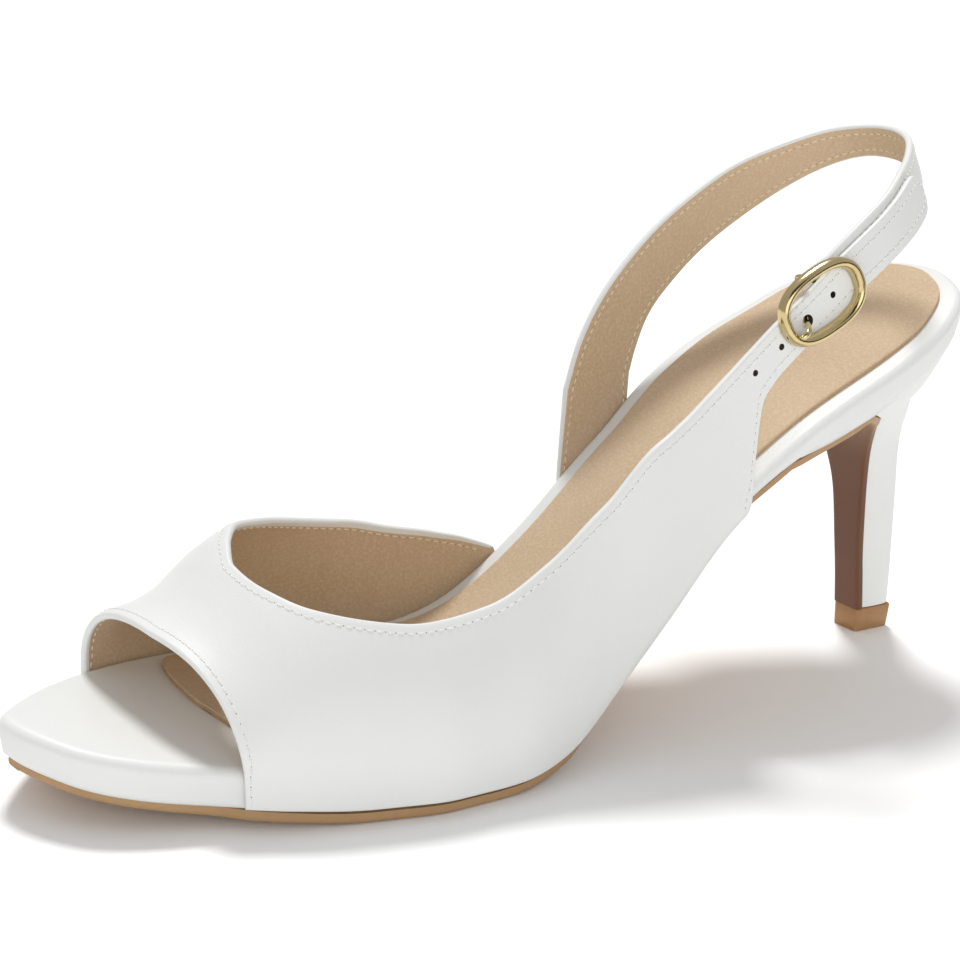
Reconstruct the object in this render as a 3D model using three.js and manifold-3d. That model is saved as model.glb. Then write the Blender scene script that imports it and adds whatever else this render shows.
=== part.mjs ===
// Left slingback peep toe pump with a thin platform and a slim heel.
// Millimetres, +Z up, toe towards -Y, outer side of the foot towards +X.
// The origin is on the floor under the ball of the foot.
import * as THREE from "three";
import Module from "manifold-3d";

const wasm = await Module();
wasm.setup();

// Driving sizes of the shoe
const LENGTH = 232;
const BALL_WIDTH = 76;
const HEEL_BACK = 152;
const SEAT_RISE = 80.5;
const TOE_SPRING = 7.3;
const INSTEP_HEIGHT = 56;
const CLEARANCE = 0.3;

// Sole, board, sock and heel
const OUTSOLE_THICKNESS = 2.2;
const SHANK_THICKNESS = 1.7;
const BOARD_FRONT_THICKNESS = 7.8;
const BOARD_REAR_THICKNESS = 5.2;
const BOARD_EDGE_RADIUS = 2.2;
const BOARD_LOWER_BEVEL = 0.7;
const OUTSOLE_BEVEL = 0.6;
const SOCK_THICKNESS = 0.9;
const SOCK_INSET = 5.2;
const SOCK_FRONT = 0.804;
const SOCK_FRONT_DEPTH = 0.026;
const LIFT_HEIGHT = 6;
const LIFT_HALF_WIDTH = 4.2;
const LIFT_CORNER = 1;
const LIFT_TAPER = 0.25;
const LIFT_OVERHANG = 0.3;
const HEEL_SEAT_INSET = 0.4;
const HEEL_FRONT_INSET = 1.6;
const HEEL_DRAW_IN = [0.245, 0.28];
const HEEL_HALF_WIDTH = 4.1;

// Upper and straps
const UPPER_WALL = 1.6;
const STRAP_LIFT = 30;
const SLING_THICKNESS = 1.6;
const SLING_END_WIDTH = 8.2;
const HOLED_STRAP_WIDTH = 9.4;
const HOLED_STRAP_DROP = 1.1;
const HOLED_STRAP_REACH = 43;
const STRAP_HOLE_RADIUS = 0.7;
const PRONG_HOLE_RADIUS = 1.4;
const STRAP_HOLE_PITCH = 8.2;
const PRONG_HOLE_PLACE = 5.3;

// Buckle
const RING_LENGTH = 22.8;
const RING_WIDTH = 15.4;
const RING_BAND = 2.3;
const RING_HEIGHT = 2.2;
const BAR_RADIUS = 0.7;
const BAR_LENGTH = 12.8;
const BAR_DROP = 0.55;
const PRONG_RADIUS = 0.65;
const RING_RAISE = 0.3;
const RING_AHEAD = 0.6;
const RING_TURN = -0.17;

// How finely the faceted surfaces are cut
const OUTLINE_STEPS = 60;
const UPPER_ROWS = 8;
const RING_STEPS = 36;
const WIRE_SIDES = 8;
const WIRE_STEPS = 4;
const UPPER_STEPS = 3;
const SLING_STEPS = 3;

// Half outlines of the footbed, as shares of the ball width.
// along: share of the length from the back of the heel
const OUTLINE = [
  // along, inner, outer
  [0, 0, 0],
  [0.012, 0.15, 0.135],
  [0.03, 0.245, 0.225],
  [0.06, 0.31, 0.3],
  [0.12, 0.36, 0.37],
  [0.2, 0.36, 0.395],
  [0.28, 0.325, 0.395],
  [0.36, 0.277, 0.385],
  [0.44, 0.285, 0.408],
  [0.5, 0.307, 0.434],
  [0.56, 0.36, 0.476],
  [0.62, 0.43, 0.507],
  [0.68, 0.472, 0.507],
  [0.74, 0.475, 0.473],
  [0.82, 0.435, 0.403],
  [0.88, 0.372, 0.325],
  [0.93, 0.285, 0.26],
  [0.965, 0.195, 0.185],
  [0.988, 0.12, 0.08],
  [1, 0.052, -0.052],
];

// Height of the footbed over the ball, as a share of the seat rise
const RISE = [
  // along, rise
  [0, 1],
  [0.03, 0.974],
  [0.06, 0.939],
  [0.12, 0.862],
  [0.2, 0.768],
  [0.28, 0.658],
  [0.36, 0.493],
  [0.44, 0.271],
  [0.5, 0.124],
  [0.53, 0.067],
  [0.56, 0.029],
  [0.59, 0.0105],
  [0.62, 0.002],
  [0.64, 0],
  [1, 0],
];

// Lift of the toe, as a share of the toe spring
const SPRING = [
  // along, lift
  [0, 0],
  [0.685, 0],
  [0.71, 0.01],
  [0.76, 0.04],
  [0.82, 0.19],
  [0.88, 0.38],
  [0.94, 0.64],
  [1, 1],
];

// Share of the front thickness of board and outsole, against the rear one
const THICKENING = [
  // along, share
  [0, 0],
  [0.42, 0],
  [0.58, 1],
  [1, 1],
];

// Thickness of the outsole, skived towards the toe, as a share
const SKIVE = [
  // along, share
  [0, 1],
  [0.84, 1],
  [1, 0.55],
];

// How far the outsole's edge lies inside the board's edge, in board rear thicknesses
const OUTSOLE_INSET = [
  // along, inset
  [0, 0.29],
  [0.3, 0.3],
  [0.36, 0.5],
  [0.46, 0.5],
  [0.51, 0.36],
  [0.56, 0.02],
  [0.64, -0.13],
  [0.76, -0.13],
  [0.84, 0.05],
  [0.88, 0.3],
  [1, 0.36],
];

// How far the lower edge of the board is drawn in under its upper edge, in board rear thicknesses
const TUCK = [
  // along, tuck
  [0, 0],
  [0.25, 0],
  [0.31, 0.3],
  [0.37, 0.42],
  [0.46, 0.4],
  [0.56, 0.12],
  [0.63, 0],
  [0.9, 0],
  [1, 0.15],
];

// How far the upper reaches down beside the outsole, in shank thicknesses
const WRAP = [
  // along, wrap
  [0, 0.6],
  [0.34, 0.6],
  [0.38, 0.8],
  [0.44, 0.8],
  [0.5, 0.25],
  [0.55, -0.1],
  [0.62, -0.3],
  [1, -0.3],
];

// Crest of the last over the footbed, as a share of the instep height
const CREST = [
  // along, height
  [0.3, 1.8],
  [0.46, 1.8],
  [0.52, 1.4],
  [0.58, 1],
  [0.64, 0.78],
  [0.7, 0.705],
  [0.76, 0.66],
  [0.79, 0.605],
  [0.81, 0.54],
  [0.825, 0.475],
  [0.84, 0.415],
  [0.855, 0.37],
  [0.872, 0.335],
  [0.92, 0.25],
];
const SIDE_FULLNESS = 2.3;

// Fullness of the inner side, as a share of the side fullness. The vamp is drawn in at its middle
const INNER_SIDE = [
  // along, share
  [0, 1],
  [0.74, 1],
  [0.79, 0.85],
  [0.82, 0.72],
  [0.85, 0.92],
  [0.88, 1.3],
  [1, 1.3],
];

const FEATHER = 1.15;

// The upper is a band of columns. Each runs from the lower or front edge to the topline.
// girth: -1 at the inner board edge, 0 on the crest, 1 at the outer board edge,
// and FEATHER at the lower edge of the wall that wraps the board
const BAND = [
  // from along, from girth, to along, to girth
  [0.452, -FEATHER, 0.462, -1],
  [0.5, -FEATHER, 0.492, -0.94],
  [0.56, -FEATHER, 0.535, -0.842],
  [0.63, -FEATHER, 0.58, -0.725],
  [0.7, -FEATHER, 0.628, -0.59],
  [0.77, -FEATHER, 0.672, -0.498],
  [0.83, -FEATHER, 0.712, -0.403],
  [0.879, -FEATHER, 0.74, -0.35],
  [0.881, -1, 0.758, -0.3],
  [0.883, -0.68, 0.776, -0.222],
  [0.883, -0.34, 0.792, -0.135],
  [0.88, 0, 0.804, -0.035],
  [0.873, 0.3, 0.8075, 0.085],
  [0.866, 0.6, 0.804, 0.205],
  [0.858, 1, 0.793, 0.33],
  [0.856, FEATHER, 0.775, 0.416],
  [0.816, FEATHER, 0.75, 0.478],
  [0.76, FEATHER, 0.714, 0.524],
  [0.7, FEATHER, 0.676, 0.543],
  [0.64, FEATHER, 0.637, 0.556],
  [0.58, FEATHER, 0.597, 0.576],
  [0.52, FEATHER, 0.555, 0.622],
  [0.46, FEATHER, 0.51, 0.693],
  [0.4, FEATHER, 0.468, 0.744],
  [0.345, FEATHER, 0.438, 0.761],
  [0.347, 1, 0.415, 0.771],
  [0.348, 0.95, 0.395, 0.78],
  [0.345, 0.885, 0.378, 0.786],
  [0.333, 0.869, 0.362, 0.788],
];
const BAND_CORNERS = [7, 15, 24];

// Edges of the sling strap's outer face, from the buckle round the heel to the inner side.
// side: share of the ball width, up: height over the board edge as a share of the strap lift
const SLING = [
  // upper along, side, up, lower along, side, up
  [0.297, 0.37, 1.154, 0.2737, 0.386, 0.815],
  [0.269, 0.37, 1.23, 0.243, 0.391, 0.885],
  [0.228, 0.358, 1.3, 0.203, 0.388, 0.925],
  [0.192, 0.33, 1.335, 0.167, 0.36, 0.985],
  [0.157, 0.275, 1.36, 0.137, 0.305, 1],
  [0.12, 0.197, 1.35, 0.104, 0.222, 1],
  [0.088, 0.1, 1.325, 0.073, 0.114, 1],
  [0.073, -0.013, 1.307, 0.058, -0.015, 1],
  [0.076, -0.138, 1.293, 0.06, -0.151, 0.987],
  [0.098, -0.247, 1.29, 0.079, -0.27, 0.92],
  [0.141, -0.316, 1.287, 0.112, -0.349, 0.84],
  [0.191, -0.349, 1.27, 0.155, -0.384, 0.753],
  [0.248, -0.362, 1.19, 0.203, -0.397, 0.65],
  [0.296, -0.362, 1.1, 0.241, -0.395, 0.53],
  [0.339, -0.355, 0.98, 0.27, -0.38, 0.42],
  [0.366, -0.346, 0.8, 0.288, -0.362, 0.26],
  [0.383, -0.332, 0.55, 0.298, -0.348, 0.11],
];
const SLING_FOOT_UPPER = 0.39;
const SLING_FOOT_LOWER = 0.303;

// Side view of the heel: front line under the board and down the breast, and back line
const HEEL = [
  // front place and height, back place and height, half width, flare, share of the outline
  [0.0515, 0, 0.0085, 0, 1, 0, 0],
  [0.0565, 0.0975, 0.0095, 0.0975, 1, 0, 0],
  [0.0625, 0.199, 0.0125, 0.199, 1.03, 0, 0],
  [0.0716, 0.376, 0.019, 0.376, 1.2, 0.1, 0],
  [0.0793, 0.477, 0.0255, 0.49, 1.5, 0.25, 0],
  [0.088, 0.553, 0.029, 0.58, 1.98, 0.45, 0],
  [0.1056, 0.629, 0.0305, 0.66, 3.05, 0.75, 0],
  [0.127, 0.671, 0.0305, 0.73, 4.2, 1, 0],
  [0.155, 0.705, 0.028, 0.8, 5.6, 1, 0.1],
  [0.19, 0.738, 0.0215, 0.87, 6.8, 1, 0.25],
  [0.2207, 0.711, 0.0125, 0.93, 7.25, 1, 0.5],
  [0.2586, 0.67, 0.005, 0.97, 7.3, 1, 0.8],
  [0.28, 0.6456, 0.0025, 0.99, 7.3, 1, 1],
];

// Plan of one side of the heel from back to front, as shares of its depth and half width
const HEEL_SIDE = [
  // along, out on the stem, out where the seat flares
  [0, 0, 0],
  [0.02, 0.45, 0.22],
  [0.06, 0.7, 0.38],
  [0.13, 0.87, 0.53],
  [0.25, 0.96, 0.67],
  [0.4, 1, 0.79],
  [0.6, 1, 0.89],
  [0.82, 0.98, 0.97],
  [1, 0.92, 1],
];

// Smooth curves through short tables, without overshoot between the rows
function tableCurve(rows, column) {
  const x = rows.map((row) => row[0]);
  const y = rows.map((row) => row[column]);
  const slope = x.slice(1).map((_, i) => (y[i + 1] - y[i]) / (x[i + 1] - x[i]));
  const tangent = x.map((_, i) => {
    if (i === 0) return slope[0];
    if (i === x.length - 1) return slope[i - 1];
    if (slope[i - 1] * slope[i] <= 0) return 0;
    const before = x[i] - x[i - 1];
    const after = x[i + 1] - x[i];
    const w1 = 2 * after + before;
    const w2 = after + 2 * before;
    return (w1 + w2) / (w1 / slope[i - 1] + w2 / slope[i]);
  });
  return (at) => {
    const place = Math.min(Math.max(at, x[0]), x[x.length - 1]);
    let i = 0;
    while (i < x.length - 2 && place > x[i + 1]) i++;
    return hermite(y[i], y[i + 1], tangent[i], tangent[i + 1], x[i + 1] - x[i], place - x[i]);
  };
}

function hermite(y0, y1, m0, m1, step, offset) {
  const s = offset / step;
  const s2 = s * s;
  const s3 = s2 * s;
  return (
    (2 * s3 - 3 * s2 + 1) * y0 +
    (s3 - 2 * s2 + s) * step * m0 +
    (3 * s2 - 2 * s3) * y1 +
    (s3 - s2) * step * m1
  );
}

// Smooth run through rows at whole numbers, broken where a corner is named
function rowCurve(rows, column, corners = []) {
  const value = (i) => rows[i][column];
  const last = rows.length - 1;
  const chord = (i) => value(i + 1) - value(i);
  const tangent = (i, ahead) => {
    if (i === 0) return chord(0);
    if (i === last) return chord(last - 1);
    if (corners.includes(i)) return ahead ? chord(i) : chord(i - 1);
    return (value(i + 1) - value(i - 1)) / 2;
  };
  return (at) => {
    const i = Math.min(Math.floor(at), last - 1);
    return hermite(value(i), value(i + 1), tangent(i, true), tangent(i + 1, false), 1, at - i);
  };
}

// A closed surface that shares its vertices and faces outwards
class Shell {
  points = [];
  faces = [];
  places = new Map();

  add(point) {
    const key = point.toArray().map((v) => Math.round(v * 500)).join();
    if (!this.places.has(key)) this.places.set(key, this.points.push(point) - 1);
    return this.places.get(key);
  }

  triangle(a, b, c) {
    if (a !== b && b !== c && a !== c) this.faces.push([a, b, c]);
  }

  quad(a, b, c, d) {
    this.triangle(a, b, c);
    this.triangle(a, c, d);
  }

  volume() {
    const [a, b] = [new THREE.Vector3(), new THREE.Vector3()];
    return this.faces.reduce((sum, face) => {
      const [p, q, r] = face.map((i) => this.points[i]);
      return sum + p.dot(a.crossVectors(q, b.copy(r)));
    }, 0);
  }

  geometry() {
    const inward = this.volume() < 0;
    const index = this.faces.flatMap(([a, b, c]) => (inward ? [a, c, b] : [a, b, c]));
    const places = this.points.flatMap((point) => point.toArray());
    return new THREE.BufferGeometry()
      .setAttribute("position", new THREE.Float32BufferAttribute(places, 3))
      .setIndex(index);
  }
}

// Loops of points stacked from one end to the other, with both ends closed or joined
function loopSolid(loops, joined = false) {
  const shell = new Shell();
  const ids = loops.map((loop) => loop.map((point) => shell.add(point)));
  const around = ids[0].length;
  const spans = joined ? ids.length : ids.length - 1;
  for (let i = 0; i < spans; i++) {
    const [low, high] = [ids[i], ids[(i + 1) % ids.length]];
    for (let k = 0; k < around; k++) {
      const next = (k + 1) % around;
      shell.quad(low[k], low[next], high[next], high[k]);
    }
  }
  const cap = (loop, turned) => {
    for (let k = 0; k < around / 2; k++) {
      const corner = [loop[k], loop[k + 1], loop[(around - k - 1) % around], loop[(around - k) % around]];
      shell.quad(...(turned ? corner : corner.reverse()));
    }
  };
  if (!joined) {
    cap(ids[0], false);
    cap(ids[ids.length - 1], true);
  }
  return shell.geometry();
}

// A sheet between two grids of points that lie a wall apart
function sheetSolid(outside, inside) {
  const shell = new Shell();
  const outer = outside.map((column) => column.map((point) => shell.add(point)));
  const inner = inside.map((column) => column.map((point) => shell.add(point)));
  const columns = outer.length;
  const rows = outer[0].length;
  for (let j = 0; j < columns - 1; j++) {
    for (let k = 0; k < rows - 1; k++) {
      shell.quad(outer[j][k], outer[j + 1][k], outer[j + 1][k + 1], outer[j][k + 1]);
      shell.quad(inner[j][k + 1], inner[j + 1][k + 1], inner[j + 1][k], inner[j][k]);
    }
    shell.quad(inner[j][0], inner[j + 1][0], outer[j + 1][0], outer[j][0]);
    shell.quad(outer[j][rows - 1], outer[j + 1][rows - 1], inner[j + 1][rows - 1], inner[j][rows - 1]);
  }
  for (let k = 0; k < rows - 1; k++) {
    shell.quad(outer[0][k], outer[0][k + 1], inner[0][k + 1], inner[0][k]);
    const end = columns - 1;
    shell.quad(inner[end][k], inner[end][k + 1], outer[end][k + 1], outer[end][k]);
  }
  return shell.geometry();
}

// Moves a grid of points along its own normals
function offsetGrid(grid, distance) {
  const last = grid.length - 1;
  const rows = grid[0].length - 1;
  return grid.map((column, j) =>
    column.map((point, k) => {
      const along = grid[Math.min(j + 1, last)][k].clone().sub(grid[Math.max(j - 1, 0)][k]);
      const across = column[Math.min(k + 1, rows)].clone().sub(column[Math.max(k - 1, 0)]);
      const normal = along.cross(across).normalize();
      return point.clone().addScaledVector(normal, distance);
    }),
  );
}

// Joining and cutting of closed geometries
function toManifold(geometry) {
  return new wasm.Manifold(
    new wasm.Mesh({
      numProp: 3,
      vertProperties: new Float32Array(geometry.getAttribute("position").array),
      triVerts: new Uint32Array(geometry.index.array),
    }),
  );
}

function fromManifold(solid) {
  const mesh = solid.getMesh();
  return new THREE.BufferGeometry()
    .setAttribute("position", new THREE.Float32BufferAttribute(mesh.vertProperties, 3))
    .setIndex([...mesh.triVerts]);
}

function cut(geometry, tools) {
  return fromManifold(tools.reduce((left, tool) => left.subtract(toManifold(tool)), toManifold(geometry)));
}

function join(geometries) {
  const [first, ...rest] = geometries.map(toManifold);
  return fromManifold(rest.reduce((sum, solid) => sum.add(solid), first));
}

// The last: outline, footbed height and girth
const turnOf = (along) => Math.acos(1 - 2 * Math.min(Math.max(along, 0), 1)) / Math.PI;
const alongOf = (turn) => (1 - Math.cos(Math.PI * turn)) / 2;
const outlineByTurn = OUTLINE.map(([along, inner, outer]) => [turnOf(along), -inner, outer]);
const innerShare = tableCurve(outlineByTurn, 1);
const outerShare = tableCurve(outlineByTurn, 2);
const riseShare = tableCurve(RISE, 1);
const springShare = tableCurve(SPRING, 1);
const thickening = tableCurve(THICKENING, 1);
const outsoleInset = tableCurve(OUTSOLE_INSET, 1);
const crestShare = tableCurve(CREST, 1);
const innerFullness = tableCurve(INNER_SIDE, 1);
const tuckShare = tableCurve(TUCK, 1);
const wrapShare = tableCurve(WRAP, 1);
const skiveShare = tableCurve(SKIVE, 1);
const GROUND_TO_TOP = OUTSOLE_THICKNESS + CLEARANCE + BOARD_FRONT_THICKNESS;

const placeY = (along) => HEEL_BACK - along * LENGTH;
const shareOf = (y) => (HEEL_BACK - y) / LENGTH;
const innerEdge = (along) => BALL_WIDTH * innerShare(turnOf(along));
const outerEdge = (along) => BALL_WIDTH * outerShare(turnOf(along));
const boardTop = (along) => GROUND_TO_TOP + SEAT_RISE * riseShare(along) + TOE_SPRING * springShare(along);
const mix = (a, b, share) => a + (b - a) * share;
const boardThickness = (along) => mix(BOARD_REAR_THICKNESS, BOARD_FRONT_THICKNESS, thickening(along));
const soleThickness = (along) =>
  mix(SHANK_THICKNESS, OUTSOLE_THICKNESS, thickening(along)) * skiveShare(along);
const boardBottom = (along) => boardTop(along) - boardThickness(along);
const tuckDepth = (along) => BOARD_REAR_THICKNESS * tuckShare(along);
const wallDepth = (along) => boardThickness(along) + SHANK_THICKNESS * wrapShare(along);

// A point of the outline at a turn from heel to toe, moved inwards by an inset
function outlinePoint(turn, side, inset) {
  const share = side > 0 ? outerShare : innerShare;
  const at = (t) => new THREE.Vector2(BALL_WIDTH * share(t), placeY(alongOf(t)));
  const small = 1e-3;
  const tangent = at(Math.min(turn + small, 1)).sub(at(Math.max(turn - small, 0))).normalize();
  const end = turn < small || turn > 1 - small;
  const inward = end
    ? new THREE.Vector2(0, turn < 0.5 ? -1 : 1)
    : new THREE.Vector2(tangent.y * side, -tangent.x * side);
  return at(turn).addScaledVector(inward, inset);
}

// A closed loop round the footbed at an inset, at a height worked out from the place along it
function footbedLoop(inset, heightAt, reach = (along) => ({ along, width: 1 })) {
  const side = (sign, steps) =>
    steps.map((step) => {
      const { along, width } = reach(alongOf(step / OUTLINE_STEPS));
      const point = outlinePoint(turnOf(along), sign, inset(along));
      const middle = (innerEdge(along) + outerEdge(along)) / 2;
      const x = middle + (point.x - middle) * width;
      return new THREE.Vector3(x, point.y, heightAt(shareOf(point.y)));
    });
  const steps = [...Array(OUTLINE_STEPS + 1).keys()];
  return [...side(1, steps), ...side(-1, steps.slice(1, -1).reverse())];
}

// Board that is wrapped in the same leather as the upper, with a rounded upper edge
function platformFootbed() {
  const loop = (inset, height) => footbedLoop(typeof inset === "number" ? () => inset : inset, height);
  const wall = (share) => {
    const inset = (along) => tuckDepth(along) * share ** 1.5 + (share === 1 ? BOARD_LOWER_BEVEL : 0);
    const height = (along) => mix(boardTop(along) - BOARD_EDGE_RADIUS, boardBottom(along), share);
    return loop(inset, height);
  };
  const edge = (angle) => {
    const inset = BOARD_EDGE_RADIUS * (1 - Math.cos(angle));
    const drop = BOARD_EDGE_RADIUS * (1 - Math.sin(angle));
    return loop(inset, (along) => boardTop(along) - drop);
  };
  return loopSolid([
    ...[1, 0.8, 0.45].map(wall),
    ...[0, Math.PI / 6, Math.PI / 3, Math.PI / 2].map(edge),
  ]);
}

// Thin sock that covers the board as far as a curved front edge in the peep
function sockLining() {
  const reach = (along) => {
    const scaled = along * (SOCK_FRONT + SOCK_FRONT_DEPTH);
    const beyond = Math.max(0, (scaled - SOCK_FRONT) / SOCK_FRONT_DEPTH);
    return { along: scaled, width: Math.sqrt(Math.max(0, 1 - beyond * beyond)) };
  };
  const loop = (rise) => footbedLoop(() => SOCK_INSET, (along) => boardTop(along) + CLEARANCE + rise, reach);
  return loopSolid([loop(0), loop(SOCK_THICKNESS)]);
}

// Front line of the heel, and the path of the outsole along it and under the board
const HEEL_FOOT = LIFT_HEIGHT + CLEARANCE;
const SEAT_HEIGHT = boardBottom(0) - CLEARANCE - HEEL_FOOT;
const heelHeight = (share) => HEEL_FOOT + share * SEAT_HEIGHT;

function outsole() {
  const breast = HEEL.map(([along, height, , , width, , seat]) => ({
    y: placeY(along),
    z: heelHeight(height),
    half: HEEL_HALF_WIDTH * width,
    seat,
  }));
  const lipEnd = HEEL[HEEL.length - 1][0];
  const firstTurn = turnOf(lipEnd + 0.012);
  const shankSteps = 40;
  const stations = [];
  for (let i = 0; i <= shankSteps; i++) {
    const turn = mix(firstTurn, 1, i / shankSteps);
    const along = alongOf(turn);
    const inset = BOARD_REAR_THICKNESS * outsoleInset(along);
    const [outer, inner] = [1, -1].map((side) => outlinePoint(turn, side, inset));
    const at = (p) => ({ x: p.x, y: p.y, z: boardBottom(shareOf(p.y)) - CLEARANCE, along });
    stations.push({ outer: at(outer), inner: at(inner) });
  }
  const rearInset = BOARD_REAR_THICKNESS * outsoleInset(0);
  const flap = breast.map(({ y, z, half, seat }) => {
    const along = shareOf(y);
    const outer = mix(half, outerEdge(along) - rearInset, seat);
    const inner = mix(-half, innerEdge(along) + rearInset, seat);
    return { outer: { x: outer, y, z, along }, inner: { x: inner, y, z, along } };
  });
  const path = [...flap, ...stations];
  const drop = flap.length - 1;
  const sides = ["outer", "inner"].map((side) => {
    const line = path.map((station) => new THREE.Vector2(station[side].y, station[side].z));
    const normals = line.map((_, i) => {
      const before = line[Math.max(i - 1, 0)];
      const after = line[Math.min(i + 1, line.length - 1)];
      const way = after.clone().sub(before).normalize();
      return new THREE.Vector2(-way.y, way.x);
    });
    return path.map((station, i) => {
      const { x, y, z, along } = station[side];
      const away = normals[i];
      const gap = i <= drop ? CLEARANCE : 0;
      const at = (depth, pull) =>
        new THREE.Vector3(x - Math.sign(x) * pull, y + away.x * (gap + depth), z + away.y * (gap + depth));
      return { top: at(0, 0), bottom: at(soleThickness(along), OUTSOLE_BEVEL) };
    });
  });
  const across = [0, 0.33, 0.67, 1];
  const grid = (face) =>
    path.map((_, i) => across.map((share) => sides[0][i][face].clone().lerp(sides[1][i][face], share)));
  return sheetSolid(grid("bottom"), grid("top"));
}

// The seat of the heel draws in under the board towards its front end
function seatInset(place) {
  const [from, to] = HEEL_DRAW_IN;
  const share = Math.min(Math.max((place - from) / (to - from), 0), 1);
  return mix(HEEL_SEAT_INSET, HEEL_FRONT_INSET, share);
}

// Slim covered heel with its seat under the board
function heel() {
  const rings = HEEL.map(([front, frontUp, back, backUp, width, flare, seat]) => {
    const half = HEEL_HALF_WIDTH * width;
    const side = (sign) =>
      HEEL_SIDE.map(([along, stem, flared]) => {
        const out = mix(stem, flared, flare);
        const place = mix(back, front, along);
        const edge = (sign > 0 ? outerEdge(place) : innerEdge(place)) - sign * seatInset(place);
        const x = mix(sign * half * out, along === 0 ? 0 : edge, seat);
        return new THREE.Vector3(x, placeY(place), heelHeight(mix(backUp, frontUp, along)));
      });
    return [...side(1), ...side(-1).slice(1).reverse()];
  });
  const seatLoop = rings[rings.length - 1].map(
    (p) => new THREE.Vector3(p.x, p.y, boardBottom(shareOf(p.y)) - CLEARANCE),
  );
  return loopSolid([...rings, seatLoop]);
}

// Wear block under the heel
function topLift() {
  const [front, , back] = HEEL[0];
  const [y0, y1] = [placeY(front) - SHANK_THICKNESS - CLEARANCE + LIFT_OVERHANG, placeY(back)];
  const corners = [
    [LIFT_HALF_WIDTH, y1, 0],
    [LIFT_HALF_WIDTH, y0, -Math.PI / 2],
    [-LIFT_HALF_WIDTH, y0, -Math.PI],
    [-LIFT_HALF_WIDTH, y1, Math.PI / 2],
  ];
  const outline = (inset) => corners.flatMap(([x, y, start]) =>
    [1, 0.5, 0].map((step) => {
      const angle = start + (step * Math.PI) / 2;
      const away = LIFT_CORNER + inset;
      const [cx, cy] = [x - Math.sign(x) * away, y + (y === y1 ? -1 : 1) * away];
      return [cx + LIFT_CORNER * Math.cos(angle), cy + LIFT_CORNER * Math.sin(angle)];
    }),
  );
  const level = (inset, z) => {
    const round = outline(inset).map(([x, y]) => new THREE.Vector3(x, y, z));
    const back = new THREE.Vector3(0, y1 - inset, z);
    const front = new THREE.Vector3(0, y0 + inset, z);
    return [back, ...round.slice(0, 6), front, ...round.slice(6)];
  };
  return loopSolid([level(LIFT_TAPER, 0), level(0, LIFT_HEIGHT)]);
}

// A point of the upper's outer face at a place along the shoe and a girth round it
function upperPoint(along, girth) {
  const side = Math.sign(girth) || 1;
  const edge = girth < 0 ? -innerEdge(along) : outerEdge(along);
  const half = edge + CLEARANCE + UPPER_WALL;
  const turn = (Math.min(Math.abs(girth), 1) * Math.PI) / 2;
  const down = Math.max(0, (Math.abs(girth) - 1) / (FEATHER - 1));
  const depth = down * wallDepth(along);
  const up = INSTEP_HEIGHT * crestShare(along) * Math.cos(turn);
  const fullness = SIDE_FULLNESS * (side < 0 ? innerFullness(along) : 1);
  const out = half * Math.sin(turn) ** (2 / fullness) - 0.9 * tuckDepth(along) * down ** 3;
  return new THREE.Vector3(side * out, placeY(along), boardTop(along) + (depth > 0 ? -depth : up));
}

// Edges of the sling strap's outer face at a step along its table
const slingColumns = [0, 1, 2, 3, 4, 5].map((column) => rowCurve(SLING, column));

function slingEdges(step) {
  const [a, b, c, d, e, f] = slingColumns.map((column) => column(step));
  const at = (along, side, up) =>
    new THREE.Vector3(side * BALL_WIDTH, placeY(along), boardTop(along) + up * STRAP_LIFT);
  return { upper: at(a, b, c), lower: at(d, e, f) };
}

function slingFrame(step) {
  const small = 1e-3;
  const { upper, lower } = slingEdges(step);
  const middle = (s) => {
    const edges = slingEdges(s);
    return edges.upper.lerp(edges.lower, 0.5);
  };
  const along = middle(step + small).sub(middle(Math.max(step - small, 0))).normalize();
  const across = upper.clone().sub(lower).normalize();
  const outward = along.clone().cross(across).normalize();
  return { centre: middle(step), along, across, outward, half: upper.distanceTo(lower) / 2 };
}

// Frame of the buckle: t back along the strap, w up across it, n away from the foot
const buckleSeat = slingFrame(0);
buckleSeat.along.crossVectors(buckleSeat.across, buckleSeat.outward).normalize();

function atBuckle(t, w, n) {
  return buckleSeat.centre
    .clone()
    .addScaledVector(buckleSeat.along, t)
    .addScaledVector(buckleSeat.across, w)
    .addScaledVector(buckleSeat.outward, n);
}

const HOLED_LAYER = CLEARANCE + UPPER_WALL;
const BAR_DEPTH = SLING_THICKNESS + CLEARANCE + BAR_RADIUS;
const RING_SEAT = HOLED_LAYER + CLEARANCE;

// Step of the sling's table at a distance back from the buckle's bar
const slingLengths = [[0, 0]];
for (let step = 0.1; step < SLING.length - 1; step += 0.1) {
  const [gone, before] = slingLengths[slingLengths.length - 1];
  slingLengths.push([gone + slingFrame(before).centre.distanceTo(slingFrame(step).centre), step]);
}
const slingStepAt = tableCurve(slingLengths, 1);

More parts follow.
